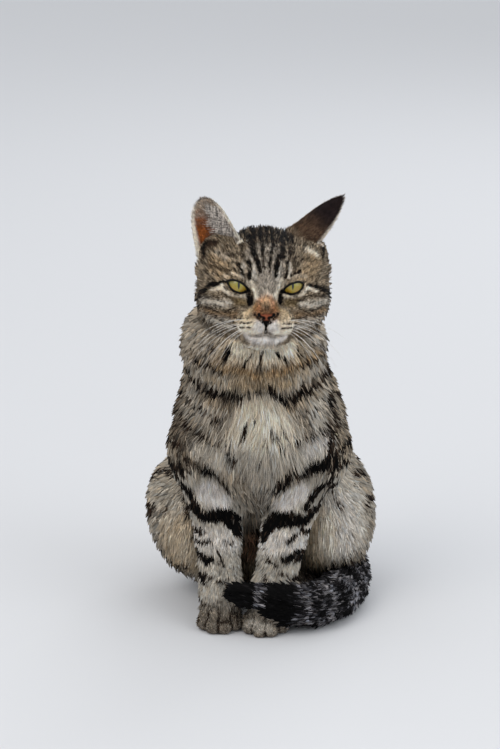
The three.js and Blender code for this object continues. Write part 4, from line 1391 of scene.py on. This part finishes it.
def furred(places, normals):
    """How thickly the tufts stand at each place, from 0 on bare skin to 1."""
    q = to_head(places)
    m = fold(q)
    bare = (past_lids(q) < 0.9) & (q[:, 1] < BEFORE_EYES)
    bare |= nose_field(q) < 0.3
    bare |= path_field(m, LIPS[:2], 0.5) < 0
    bare |= path_field(m, PHILTRUM, 1.1) < 0
    bare |= path_field(m, NOSE_SIDE, 0.7) < 0
    thick = np.where(bare, 0.0, 1.0)
    for name in EARS:
        on, _, _, level = ear_share(places, name)
        thick[on & (level > 0.2)] = 0.35
    return thick * (1 - 0.9 * ((normals[:, 2] < -0.6) & (places[:, 2] < 14)))


def scatter(places, faces, normals, weights, count, rng):
    """Roots spread over a mesh as its faces' weights say, and the normals there."""
    corners = places[faces]
    area = np.linalg.norm(np.cross(corners[:, 1] - corners[:, 0], corners[:, 2] - corners[:, 0]), axis=1)
    total = np.cumsum(area * weights)
    chosen = np.searchsorted(total, (np.arange(count) + rng.uniform(0, 1, count)) * total[-1] / count)
    chosen = np.minimum(chosen, len(faces) - 1)
    a, b = np.sqrt(rng.uniform(0, 1, count)), rng.uniform(0, 1, count)
    parts = np.stack([1 - a, a * (1 - b), a * b], 1)[:, :, None]
    return (corners[chosen] * parts).sum(1), unit((normals[faces[chosen]] * parts).sum(1))


# ---------------------------------------------------------------- settings


def colour_setting(name, description, default):
    return FloatVectorProperty(
        name=name, description=description, default=default, min=0, max=1, subtype="COLOR_GAMMA"
    )


def length_setting(name, description, default):
    return FloatProperty(name=name, description=description, default=default, min=0, unit="LENGTH")


class CatColours(bpy.types.PropertyGroup):
    """The colours of the coat, eyes and nose."""

    ground: colour_setting("Ground", "Grey-brown between the stripes", (0.56, 0.5, 0.42))
    # grey is also painted as shade below the whisker pads
    grey: colour_setting("Grey", "Forehead and lower chest", (0.55, 0.52, 0.48))
    tan: colour_setting("Tan", "Temples and throat", (0.67, 0.57, 0.44))
    buff: colour_setting("Buff", "Upper throat and inside of the haunches", (0.76, 0.67, 0.54))
    pale: colour_setting("Pale", "Cheeks and upper arms", (0.79, 0.76, 0.71))
    cream: colour_setting("Cream", "Breast and round the eyes", (0.98, 0.93, 0.85))
    white: colour_setting("White", "Muzzle and chin", (0.91, 0.88, 0.85))
    gold: colour_setting("Gold", "Bands across the throat", (0.58, 0.43, 0.25))
    rust: colour_setting("Rust", "Bridge over the nose", (0.72, 0.5, 0.34))
    bridge: colour_setting("Bridge", "Between the eyes", (0.62, 0.58, 0.53))
    brown: colour_setting("Brown", "Belly behind the forelegs", (0.76, 0.61, 0.5))
    slate: colour_setting("Slate", "Faint rings of the tail", (0.20, 0.19, 0.20))
    olive: colour_setting("Olive", "Patches under the eyes", (0.45, 0.38, 0.27))
    # umber is also painted as shade in the ear pockets and deep in the ear hollows
    umber: colour_setting("Umber", "Faint stripes and the lower bridge of the nose", (0.22, 0.165, 0.125))
    # stripe black is also laid down as painted shade in creases, folds and the nostrils
    stripe: colour_setting("Stripe", "Stripes, bands and tail tip", (0.025, 0.022, 0.022))
    haunch: colour_setting("Haunch", "Haunches", (0.69, 0.65, 0.59))
    leg: colour_setting("Leg", "Forelegs", (0.74, 0.71, 0.66))
    paw: colour_setting("Paw", "Feet", (0.5, 0.46, 0.41))
    tail: colour_setting("Tail", "Rings between the tail's dark bands", (0.52, 0.51, 0.52))
    ear_back: colour_setting("Ear back", "Back of the ears", (0.14, 0.1, 0.1))
    ear_brown: colour_setting("Ear brown", "Back of the left ear towards its root", (0.34, 0.26, 0.2))
    ear_inside: colour_setting("Ear inside", "Hollow of the ears behind the hairs", (0.54, 0.48, 0.44))
    ear_tip: colour_setting("Ear tip", "Hollow of the ears near the tip", (0.60, 0.54, 0.48))
    ear_hair: colour_setting("Ear hair", "Long hairs across the ears", (0.88, 0.84, 0.8))
    ear_rust: colour_setting("Ear rust", "Band up the outer side of the ears' hollow", (0.54, 0.3, 0.14))
    ear_rim: colour_setting("Ear rim", "Edge of the ears", (0.93, 0.88, 0.81))
    hair: colour_setting("Hair", "Whiskers", (0.9, 0.88, 0.85))
    nose: colour_setting("Nose", "Nose leather", (0.53, 0.29, 0.2))
    iris: colour_setting("Iris", "Upper part of the iris", (0.56, 0.52, 0.13))
    iris_low: colour_setting("Iris low", "Lower part of the iris", (0.65, 0.5, 0.16))


class CatSizes(bpy.types.PropertyGroup):
    """The sizes of the skin's mesh, the coat and the whiskers."""

    skin_step: length_setting("Skin step", "Size of the skin's faces away from the face", 0.0022)
    tuft_count: IntProperty(
        name="Tufts", description="Number of tufts in the whole coat", default=372000, min=1000
    )
    whisker_length: length_setting("Whisker length", "Length of the longest whisker", 0.056)
    whisker_radius: length_setting("Whisker radius", "Radius at a whisker's root", 0.00017)


def palette_of(settings):
    return {key: linear(getattr(settings, key)) for key in CatColours.__annotations__}


# ---------------------------------------------------------------- materials


def new_material(name, roughness, **values):
    """A material with its shader and its node tree."""
    material = bpy.data.materials.new(name)
    material.use_nodes = True
    shader = material.node_tree.nodes["Principled BSDF"]
    shader.inputs["Roughness"].default_value = roughness
    for key, value in values.items():
        shader.inputs[key.replace("_", " ")].default_value = value
    return material, material.node_tree, shader


def node(tree, kind, inputs=None, **settings):
    made = tree.nodes.new(kind)
    for key, value in settings.items():
        setattr(made, key, value)
    for key, value in (inputs or {}).items():
        if isinstance(value, bpy.types.NodeSocket):
            tree.links.new(value, made.inputs[key])
        else:
            made.inputs[key].default_value = value
    return made


def mixed(tree, share, a, b, blend_type="MIX"):
    """The result of a colour mix. `share`, `a` and `b` are sockets or values."""
    made = node(tree, "ShaderNodeMix", data_type="RGBA", blend_type=blend_type)
    for socket, value in ((made.inputs[0], share), (made.inputs[6], a), (made.inputs[7], b)):
        if isinstance(value, bpy.types.NodeSocket):
            tree.links.new(value, socket)
        else:
            socket.default_value = value
    return made.outputs[2]


def maths(tree, operation, *values, **settings):
    """The result of a sum. The values are sockets or numbers."""
    return node(tree, "ShaderNodeMath", dict(enumerate(values)), operation=operation, **settings).outputs[0]


def ramp(tree, value, low, high, start=0.0, end=1.0):
    """A value that goes from `start` to `end` as another one goes from `low` to `high`."""
    inputs = {"Value": value, "From Min": low, "From Max": high, "To Min": start, "To Max": end}
    return node(tree, "ShaderNodeMapRange", inputs).outputs[0]


def grain(tree, size, stretch=None, **inputs):
    """Noise in the object's own axes, if need be drawn out along them."""
    place = node(tree, "ShaderNodeTexCoord").outputs["Object"]
    if stretch:
        place = node(tree, "ShaderNodeVectorMath", {0: place, 1: stretch}, operation="MULTIPLY").outputs[0]
    return node(tree, "ShaderNodeTexNoise", {"Vector": place, "Scale": size, **inputs}).outputs["Fac"]


def rgba(colour):
    return (*colour, 1)


def hair_material(name, attribute, size, contrast, bump):
    """Fur: the stored colours broken up by a fine grain, which also lifts the surface."""
    material, tree, shader = new_material(name, 0.7, Specular_IOR_Level=0.1)
    stored = node(tree, "ShaderNodeAttribute", attribute_name=attribute)
    noise = grain(tree, size, Detail=3.0, Roughness=0.6)
    shade = ramp(tree, noise, 0.3, 0.7, 1 - contrast, 1 + contrast)
    grey = node(tree, "ShaderNodeCombineColor", {"Red": shade, "Green": shade, "Blue": shade})
    colour = mixed(tree, 1.0, stored.outputs["Color"], grey.outputs[0], "MULTIPLY")
    tree.links.new(colour, shader.inputs["Base Color"])
    if bump:
        lift = node(tree, "ShaderNodeBump", {"Height": noise, "Strength": bump, "Distance": 0.001})
        tree.links.new(lift.outputs[0], shader.inputs["Normal"])
    return material


# ---------------------------------------------------------------- operators

FLESH = ["head", "neck", "trunk"]
FLESH += [f"{part}_{side}" for part in ("ear", "foreleg", "forepaw", "thigh", "hind_foot") for side in SIDES]
FLESH += [f"tail_{i}" for i in range(1, 5)]


def finish_piece(obj, slot, *nodes):
    """Ties a finished piece to the model: the body it rides on and the solids it stands for. The slot is not
    used.
    """
    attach(obj, "root")
    if nodes:
        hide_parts(*nodes)
    return obj


class CAT_OT_skin(bpy.types.Operator):
    """Make the skin: one closed surface under the coat, with lids, lips, toes and ears"""

    bl_idname = "cat.skin"
    bl_label = "Skin"

    def execute(self, context):
        settings = context.scene.cat_sizes
        low, high = vec(*CAD_BOX[0]) / MM - 4, vec(*CAD_BOX[1]) / MM + 4
        low[2] = -3.0
        places, faces = surface_of(skin_field, low, high, settings.skin_step / MM)
        places = settle(skin_field, places, 2)
        q = to_head(places)
        on_head = (q[:, 2] > -48) & (np.linalg.norm(q - [0, -8, 0], axis=1) < 70)
        places, faces = refine(places, faces, on_head[faces].all(1))
        places = settle(skin_field, places, 1)
        m = fold(to_head(places))
        by_eye = np.linalg.norm(m - EYE - [1, -8, 0], axis=1) < 15
        by_nose = ellipsoid(m, (0, -54, -27), (18, 14, 13)) < 0
        places, faces = refine(places, faces, (by_eye | by_nose)[faces].all(1))
        places = settle(skin_field, places, 3, 0.5)
        skin = new_mesh("skin", places, faces)
        for name, ear in EARS.items():
            leaf = new_mesh("ear_leaf_" + name, *ear_mesh(ear))
            union = skin.modifiers.new("union", "BOOLEAN")
            union.operation, union.solver, union.object = "UNION", "MANIFOLD", leaf
            joined = bpy.data.meshes.new_from_object(skin.evaluated_get(context.evaluated_depsgraph_get()))
            skin.modifiers.clear()
            if not len(joined.polygons):
                raise RuntimeError("the ears could not be joined to the skin")
            skin.data = joined
            bpy.data.objects.remove(leaf)
        skin.data.name = "skin"
        skin.data.shade_smooth()
        places, faces, normals = arrays_of(skin.data)
        palette = palette_of(context.scene.cat_colours)
        colours, dark = coat_colours(places, normals, palette)
        paint(skin.data, "markings", striped(colours, dark, palette, places) * 0.8)
        skin.data.materials.clear()
        skin.data.materials.append(hair_material("coat_over_skin", "markings", 900.0, 0.35, 0.6))
        finish_piece(skin, "coat", *FLESH)
        return {"FINISHED"}


def in_head_mesh(name, places_in_head, faces):
    return new_mesh(name, from_head(places_in_head), faces)


IRIS_MAP = 2.4 * EYE_RADIUS  # the width that an eye's map spans


class CAT_OT_eyes(bpy.types.Operator):
    """Make the eyeballs, with a bulging cornea, a slit pupil and a wet coat"""

    bl_idname = "cat.eyes"
    bl_label = "Eyes"

    def execute(self, context):
        palette = palette_of(context.scene.cat_colours)
        around, along = 64, 40
        rows, columns = np.linspace(0, math.pi, along + 1)[1:-1], np.arange(around) * 2 * math.pi / around
        polar, spin = (a.ravel() for a in np.meshgrid(rows, columns, indexing="ij"))
        ways = np.stack([np.sin(polar) * np.cos(spin), -np.cos(polar), np.sin(polar) * np.sin(spin)], 1)
        ways = np.concatenate([ways, [(0, -1, 0), (0, 1, 0)]])
        bulge = CORNEA * smooth(-ways[:, 1], 0.62, 1.0)
        for name, side in SIDES.items():
            places = ways * (EYE_RADIUS + bulge)[:, None] + mirrored(EYE, side)
            faces = outward(places, capped_faces(along - 1, around))
            ball = in_head_mesh("eyeball_" + name, places, faces)
            layer = ball.data.uv_layers.new(name="iris")
            flat = (places - mirrored(EYE, side))[:, [0, 2]] / IRIS_MAP + 0.5
            layer.data.foreach_set("uv", flat[faces.ravel()].astype(np.float32).ravel())
            ball.data.materials.append(self.iris_material(palette))
            finish_piece(ball, "eye", "eye_" + name)
        return {"FINISHED"}

    def iris_material(self, palette):
        """Green above and yellow below, with radial threads, a slit pupil, a dark edge and painted shade from
        the upper lid across its top.
        """
        material, tree, shader = new_material("iris", 0.35, Coat_Weight=0.6, Coat_Roughness=0.03)

        def vector(operation, *values):
            return node(tree, "ShaderNodeVectorMath", dict(enumerate(values)), operation=operation)

        uv = node(tree, "ShaderNodeUVMap", uv_map="iris").outputs[0]
        centred = vector("SUBTRACT", uv, (0.5, 0.5, 0.0)).outputs[0]
        flat = vector("MULTIPLY", centred, (IRIS_MAP, IRIS_MAP, 0.0)).outputs[0]
        across, up, _ = node(tree, "ShaderNodeSeparateXYZ", {0: flat}).outputs
        radius = vector("LENGTH", flat).outputs["Value"]
        # the pupil's half width is 0.95 at its middle and nothing 3.8 above and below it
        rise = maths(tree, "DIVIDE", maths(tree, "SUBTRACT", up, 0.9), 3.8)
        left = maths(tree, "SUBTRACT", 1.0, maths(tree, "MULTIPLY", rise, rise), use_clamp=True)
        half = maths(tree, "MULTIPLY", left, 0.95)
        past_pupil = maths(tree, "SUBTRACT", maths(tree, "ABSOLUTE", across), half)
        angle = maths(tree, "ARCTAN2", up, across)
        polar = node(tree, "ShaderNodeCombineXYZ", {0: angle, 1: radius}).outputs[0]
        stretched = vector("MULTIPLY", polar, (9.0, 0.35, 1.0)).outputs[0]
        threads = node(tree, "ShaderNodeTexNoise", {"Vector": stretched, "Scale": 1.6, "Detail": 4.0})
        iris = palette["iris"]
        base = rgba(palette["iris_low"])
        for share, colour in (
            (ramp(tree, up, -4.5, 2.5), iris),
            (ramp(tree, threads.outputs["Fac"], 0.3, 0.7, 0.0, 0.55), iris * 0.35),
            (ramp(tree, past_pupil, 0.2, 2.4, 0.25, 0.0), iris * vec(0.8, 1.35, 0.9)),
            # painted shade of the upper lid across the top of the iris
            (ramp(tree, up, 1.6, 4.6, 0.0, 0.75), iris * 0.12),
            (ramp(tree, radius, 7.0, 9.0), (0.01, 0.008, 0.006)),
            (ramp(tree, past_pupil, -0.12, 0.16, 1.0, 0.0), (0.002, 0.002, 0.002)),
        ):
            base = mixed(tree, share, base, rgba(colour))
        tree.links.new(base, shader.inputs["Base Color"])
        return material


class CAT_OT_nose(bpy.types.Operator):
    """Make the nose leather, with its nostrils"""

    bl_idname = "cat.nose"
    bl_label = "Nose"

    def execute(self, context):
        palette = palette_of(context.scene.cat_colours)
        places, faces = surface_of(nose_field, NOSE_TIP - [11, 5, 10], NOSE_TIP + [11, 9, 7], 0.45)
        places = settle(nose_field, places, 3, 0.3)
        nose = in_head_mesh("nose_leather", places, faces)
        r = fold(places) - NOSE_TIP
        x, y, z = r.T
        nostril = limb(r, vec(2.4, -1.8, -1.6), 1.5, vec(7.4, 0.6, 0.2), 1.2)
        # the nostrils are painted black as shade inside their openings; the leather also darkens behind its
        # front, at the wings' outer edges, a little over the top and on the lower wedge
        shades = (
            smooth(nostril, 0.9, -0.3),
            smooth(y, 0.6, 2.2),
            smooth(x - 0.36 * z, 3.4, 4.6),
            0.45 * smooth(z, 0.4, 2.6),
            smooth(z, -2.4, -4.0),
        )
        leather = np.tile(palette["nose"], (len(places), 1))
        paint(nose.data, "tint", blend(leather, palette["stripe"], np.max(shades, 0)))
        nose.data.materials.append(hair_material("leather", "tint", 2600.0, 0.2, 0.5))
        finish_piece(nose, "nose_leather", "nose")
        return {"FINISHED"}


def tube(path, radii, sides=8):
    """A closed tube round a closed path."""
    along = unit(np.roll(path, -1, 0) - np.roll(path, 1, 0))
    side = unit(np.cross(along, vec(0, 1.0, 0) @ HEAD_TURN.T))
    up = np.cross(side, along)
    angles = np.arange(sides) * 2 * math.pi / sides
    ring = side[:, None] * np.cos(angles)[None, :, None] + up[:, None] * np.sin(angles)[None, :, None]
    places = (path[:, None, :] + ring * radii[:, None, None]).reshape(-1, 3)
    return places, outward(places, ring_faces(len(path), sides, closed=True))


class CAT_OT_eye_rims(bpy.types.Operator):
    """Make the bare black rims of the lids, drawn out at the inner corners"""

    bl_idname = "cat.eye_rims"
    bl_label = "Eye rims"

    def execute(self, context):
        palette = palette_of(context.scene.cat_colours)
        material, tree, shader = new_material("lid_rim", 0.55, Specular_IOR_Level=0.2)
        black = palette["stripe"]
        colour = mixed(tree, grain(tree, 1500.0), rgba(black * 0.4), rgba(black))
        tree.links.new(colour, shader.inputs["Base Color"])
        angles = np.linspace(0, 2 * math.pi, 72, endpoint=False)
        share = np.cos(angles) * np.where(np.cos(angles) < 0, 1.1, 1.03)
        above, below = lid_edge(np.clip(share, -1, 1))
        upper = np.sin(angles) >= 0
        height = np.where(upper, above + 0.35, below - 0.15)
        reach = EYE_RADIUS + LID * 0.7
        radii = np.where(upper, 0.85, 0.6) * mix(1, 0.7, smooth(np.abs(share), 0.85, 1.1))
        for name, side in SIDES.items():
            slant = math.radians(EYE_SLANT[name])
            out, _, lift = ALMOND_MIDDLE[name]
            x = share * EYE_WIDTH * math.cos(slant) - height * math.sin(slant) + out
            z = share * EYE_WIDTH * math.sin(slant) + height * math.cos(slant) + lift
            y = -np.sqrt(np.maximum(reach**2 - x * x - z * z, 4))
            path = from_head(mirrored(np.stack([x, y, z], 1) + EYE, side))
            rim = new_mesh("eye_rim_" + name, *tube(path, radii))
            rim.data.materials.append(material)
            finish_piece(rim, "coat_dark")
        return {"FINISHED"}


def hair_tree(material):
    """Geometry Nodes that turn lines into thin closed tubes, as thick as stored at their points."""
    tree = bpy.data.node_groups.new("Hairs", "GeometryNodeTree")
    tree.interface.new_socket("Geometry", in_out="INPUT", socket_type="NodeSocketGeometry")
    radius = tree.interface.new_socket("Root radius", in_out="INPUT", socket_type="NodeSocketFloat")
    radius.subtype = "DISTANCE"
    sides = tree.interface.new_socket("Sides", in_out="INPUT", socket_type="NodeSocketInt")
    tree.interface.new_socket("Geometry", in_out="OUTPUT", socket_type="NodeSocketGeometry")
    start = tree.nodes.new("NodeGroupInput")
    stored = node(tree, "GeometryNodeInputNamedAttribute", {"Name": "thickness"}, data_type="FLOAT")
    curve = node(tree, "GeometryNodeMeshToCurve", {"Mesh": start.outputs["Geometry"]})
    round_one = {"Resolution": start.outputs["Sides"], "Radius": 1.0}
    inputs = {
        "Curve": curve.outputs[0],
        "Profile Curve": node(tree, "GeometryNodeCurvePrimitiveCircle", round_one).outputs[0],
        "Scale": maths(tree, "MULTIPLY", stored.outputs[0], start.outputs["Root radius"]),
        "Fill Caps": True,
    }
    tubes = node(tree, "GeometryNodeCurveToMesh", inputs)
    real = node(tree, "GeometryNodeRealizeInstances", {"Geometry": tubes.outputs[0]})
    finish = node(tree, "GeometryNodeSetMaterial", {"Geometry": real.outputs[0], "Material": material})
    end = tree.nodes.new("NodeGroupOutput")
    tree.links.new(finish.outputs[0], end.inputs[0])
    return tree, radius.identifier, sides.identifier


def hairs(name, paths, radius, slot, tone, darkest, sides=5):
    """One piece made of hairs, each given as a row of places along it."""
    count, steps, _ = paths.shape
    mesh = bpy.data.meshes.new(name)
    first = (np.arange(count)[:, None] * steps + np.arange(steps - 1)).ravel()
    mesh.from_pydata((paths.reshape(-1, 3) * MM).tolist(), np.stack([first, first + 1], 1).tolist(), [])
    thickness = mesh.attributes.new("thickness", "FLOAT", "POINT")
    taper = 1 - 0.85 * np.linspace(0, 1, steps) ** 1.6
    thickness.data.foreach_set("value", np.tile(taper, count).astype(np.float32))
    obj = bpy.data.objects.new(name, mesh)
    bpy.context.scene.collection.objects.link(obj)
    material, tree, shader = new_material(name, 0.4)
    colour = linear(getattr(bpy.context.scene.cat_colours, tone))
    share = ramp(tree, grain(tree, 520.0, (1.0, 1.0, 0.3)), 0.4, 0.58)
    tree.links.new(mixed(tree, share, rgba(colour * darkest), rgba(colour)), shader.inputs["Base Color"])
    group, radius_input, sides_input = hair_tree(material)
    modifier = obj.modifiers.new("hairs", "NODES")
    modifier.node_group = group
    modifier[radius_input] = radius * MM
    modifier[sides_input] = sides
    made = bpy.data.meshes.new_from_object(obj.evaluated_get(bpy.context.evaluated_depsgraph_get()))
    obj.modifiers.clear()
    if not len(made.polygons):
        raise RuntimeError("no hairs were made for " + name)
    obj.data = made
    made.name = name
    made.shade_smooth()
    return finish_piece(obj, slot)


# For each row of whiskers: its height, how far out its first root is, and their number.
WHISKER_ROWS = [(-22.5, 17, 2), (-26, 15, 3), (-29.5, 15, 3), (-32.5, 17, 2)]


def arched(roots, ways, lengths, sag, steps=9):
    """Rows of places along hairs that set off along `ways` and bend by `sag`."""
    t = np.linspace(0, 1, steps)[None, :, None]
    return roots[:, None, :] + lengths[:, None, None] * (ways[:, None, :] * t + sag[:, None, :] * t**2)


class CAT_OT_whiskers(bpy.types.Operator):
    """Make the whiskers, which arch forwards, out and down"""

    bl_idname = "cat.whiskers"
    bl_label = "Whiskers"

    def execute(self, context):
        sizes = context.scene.cat_sizes
        rng = np.random.default_rng(7)
        longest, radius = sizes.whisker_length / MM, sizes.whisker_radius / MM
        rows, ways, sags, lengths = [], [], [], []
        for row, (height, out, count) in enumerate(WHISKER_ROWS):
            for i in range(count):
                rows.append((out + 3.6 * i, height - 0.3 * i))
                ways.append((0.92, -0.30 + 0.08 * i, 0.06 - 0.14 * row))
                sags.append((-0.08, 0.28, -0.44 - 0.04 * row))
                lengths.append(longest * (1.0 - 0.10 * abs(i - 1.5) - 0.06 * row))
        starts = front_at(bare_face, rows)
        starts[:, 1] += 1.0
        for name, side in SIDES.items():
            jitter = rng.normal(0, 0.05, (len(rows), 3))
            way = mirrored(unit(np.array(ways) + jitter), side)
            sag = mirrored(np.array(sags) + rng.normal(0, 0.04, (len(rows), 3)), side)
            long = np.array(lengths) * rng.uniform(0.85, 1.08, len(rows))
            paths = arched(mirrored(starts, side), way, long, sag)
            hairs("whiskers_" + name, from_head(paths), radius, "coat_pale", "hair", 0.6)
        return {"FINISHED"}


class CAT_OT_ear_hair(bpy.types.Operator):
    """Make the long pale hairs that cross the hollow of each ear from its inner edge"""

    bl_idname = "cat.ear_hair"
    bl_label = "Ear hair"

    def execute(self, context):
        for name, ear in EARS.items():
            rng = np.random.default_rng(17)
            count, steps = (420 if name == "right" else 110), 7
            rise = rng.uniform(0.05, 0.80, count)
            reach = rng.uniform(0.35, 0.95, count) * mix(1.0, 0.7, smooth(rise, 0.4, 0.85))
            start = 0.93 - rng.uniform(0, 0.55, count)
            lift = rng.uniform(1.5, 5.5, count)
            t = np.linspace(0, 1, steps)
            across = ear_inner_side(name) * (start[:, None] - reach[:, None] * t)
            up = rise[:, None] + (0.05 + 0.12 * rng.uniform(0, 1, count))[:, None] * t
            shell = 0.7 + lift[:, None] * np.sin(0.62 * math.pi * t)
            up = np.clip(up, 0, 0.97)
            paths = ear_place(ear, up.ravel(), across.ravel(), shell.ravel(), EAR_INSET)
            hairs("ear_hair_" + name, paths.reshape(count, steps, 3), 0.25, "coat_pale", "ear_hair", 0.22, 4)
        return {"FINISHED"}


def ear_tufts(roots, name):
    """How the short fur lies on an ear, and its size: up the back, outwards in the hollow."""
    _, _, up, _, side = ear_axes(EARS[name])
    _, rise, across, _ = ear_share(roots, name)
    way = up + side * (0.5 * across)[:, None]
    return unit(way), EAR_TUFTS + smooth(rise, 0.35, 0.0)[:, None] * vec(3.5, 0.1, 1.0)


class CAT_OT_coat(bpy.types.Operator):
    """Cover the skin with thin tufts that follow the lie of the coat"""

    bl_idname = "cat.coat"
    bl_label = "Coat"

    def execute(self, context):
        settings = context.scene.cat_sizes
        palette = palette_of(context.scene.cat_colours)
        places, faces, normals = arrays_of(bpy.data.objects["skin"].data)
        middles = places[faces].mean(1)
        facing = unit(normals[faces].mean(1))
        thick = furred(middles, facing)
        piece = piece_of(middles, regions(middles))
        shares = sum(share for share, _, _ in COAT_PIECES.values())
        fur = hair_material("fur", "tint", 1400.0, 0.12, 0.0)
        total = settings.tuft_count * 1.0
        for i, (name, (share, slot, kind)) in enumerate(COAT_PIECES.items()):
            rng = np.random.default_rng(100 + i)
            count = int(total * share / shares)
            roots, out = scatter(places, faces, normals, thick * (piece == i), count, rng)
            if kind.startswith("ear"):
                way, size = ear_tufts(roots, kind.split("_")[1])
                points = tuft_points(roots, out, way, size, 200 + i)
                seen = roots
            else:
                way, size = lie_of_coat(roots, regions(roots))
                points = tuft_points(roots, out, way, size, 200 + i, skin_field)
                seen = mix(points[:, 1:3].mean(1), points[:, 3], 0.3)
            colours, dark = coat_colours(seen, out, palette)
            grizzle = rng.normal(0, 0.24 if "face" in name or "crown" in name else 0.18, count)
            colours = striped(colours, dark + grizzle * smooth(dark, 0.0, 0.2), palette, roots)
            colours = colours * np.exp(0.16 * ripple(roots, 5, 400 + i))[:, None]
            coat = tuft_mesh(name, points, out, colours, unwrap(roots, kind), 300 + i)
            coat.data.materials.append(fur)
            finish_piece(coat, slot)
        return {"FINISHED"}


class CAT_OT_stage(bpy.types.Operator):
    """Make the floor, the soft studio light and the camera"""

    bl_idname = "cat.stage"
    bl_label = "Stage"

    def execute(self, context):
        scene = context.scene
        size = 30.0
        mesh = bpy.data.meshes.new("floor")
        corners = [(-size, -size, 0), (size, -size, 0), (size, size, 0), (-size, size, 0)]
        mesh.from_pydata(corners, [], [(0, 1, 2, 3)])
        floor = bpy.data.objects.new("floor", mesh)
        scene.collection.objects.link(floor)
        material, _, shader = new_material("pale_floor", 0.9)
        shader.inputs["Base Color"].default_value = (0.66, 0.66, 0.67, 1)
        mesh.materials.append(material)
        world = bpy.data.worlds.new("studio")
        world.use_nodes = True
        sky = world.node_tree.nodes["Background"]
        sky.inputs["Color"].default_value, sky.inputs["Strength"].default_value = (0.93, 0.96, 1.0, 1), 0.85
        scene.world = world
        for name, place, energy, width, colour in (
            ("key", (-1.3, -1.6, 2.1), 24.0, 1.6, (1.0, 0.97, 0.93)),
            ("fill", (1.8, -1.4, 1.4), 17.0, 1.8, (0.94, 0.97, 1.0)),
            ("rim", (0.8, 2.0, 1.8), 12.0, 1.4, (0.96, 0.98, 1.0)),
        ):
            lamp = bpy.data.lights.new(name, "AREA")
            lamp.energy, lamp.size, lamp.color = energy, width, colour
            obj = bpy.data.objects.new(name, lamp)
            obj.location = place
            obj.rotation_euler = (Vector((0, 0, 0.2)) - obj.location).to_track_quat("-Z", "Y").to_euler()
            scene.collection.objects.link(obj)
        camera = bpy.data.cameras.new("camera")
        camera.lens, camera.sensor_width, camera.clip_end = 141.4, 36, 100
        obj = bpy.data.objects.new("camera", camera)
        rise = math.radians(15)
        forward = vec(0, math.cos(rise), -math.sin(rise))
        up = vec(0, math.sin(rise), math.cos(rise))
        aim = HOME + vec(0, -80, 190) + vec(-10.2, 0, 0) + up * 36.6
        obj.location = (aim - forward * 2500) * MM
        obj.rotation_euler = (math.pi / 2 - rise, 0, 0)
        scene.collection.objects.link(obj)
        scene.camera = obj
        scene.view_settings.view_transform = "Standard"
        return {"FINISHED"}


class CAT_PT_model(bpy.types.Panel):
    """The sizes, the colours and the steps that make the cat"""

    bl_idname = "CAT_PT_model"
    bl_label = "Sitting Tabby Cat"
    bl_space_type = "VIEW_3D"
    bl_region_type = "UI"
    bl_category = "Cat"

    def draw(self, context):
        for settings in (context.scene.cat_sizes, context.scene.cat_colours):
            box = self.layout.box()
            for key in settings.__annotations__:
                box.prop(settings, key)
        for step in STEPS:
            self.layout.operator(step.bl_idname)


STEPS = (
    CAT_OT_stage,
    CAT_OT_skin,
    CAT_OT_eyes,
    CAT_OT_eye_rims,
    CAT_OT_nose,
    CAT_OT_whiskers,
    CAT_OT_ear_hair,
    CAT_OT_coat,
)
CLASSES = (CatColours, CatSizes, *STEPS, CAT_PT_model)


def register():
    for item in CLASSES:
        bpy.utils.register_class(item)
    bpy.types.Scene.cat_colours = PointerProperty(type=CatColours)
    bpy.types.Scene.cat_sizes = PointerProperty(type=CatSizes)


def unregister():
    del bpy.types.Scene.cat_sizes
    del bpy.types.Scene.cat_colours
    for item in reversed(CLASSES):
        bpy.utils.unregister_class(item)


def main():
    register()
    bpy.ops.cat.stage()
    bpy.ops.cat.skin()
    bpy.ops.cat.eyes()
    bpy.ops.cat.eye_rims()
    bpy.ops.cat.nose()
    bpy.ops.cat.whiskers()
    bpy.ops.cat.ear_hair()
    bpy.ops.cat.coat()


if __name__ == "__main__":
    main()
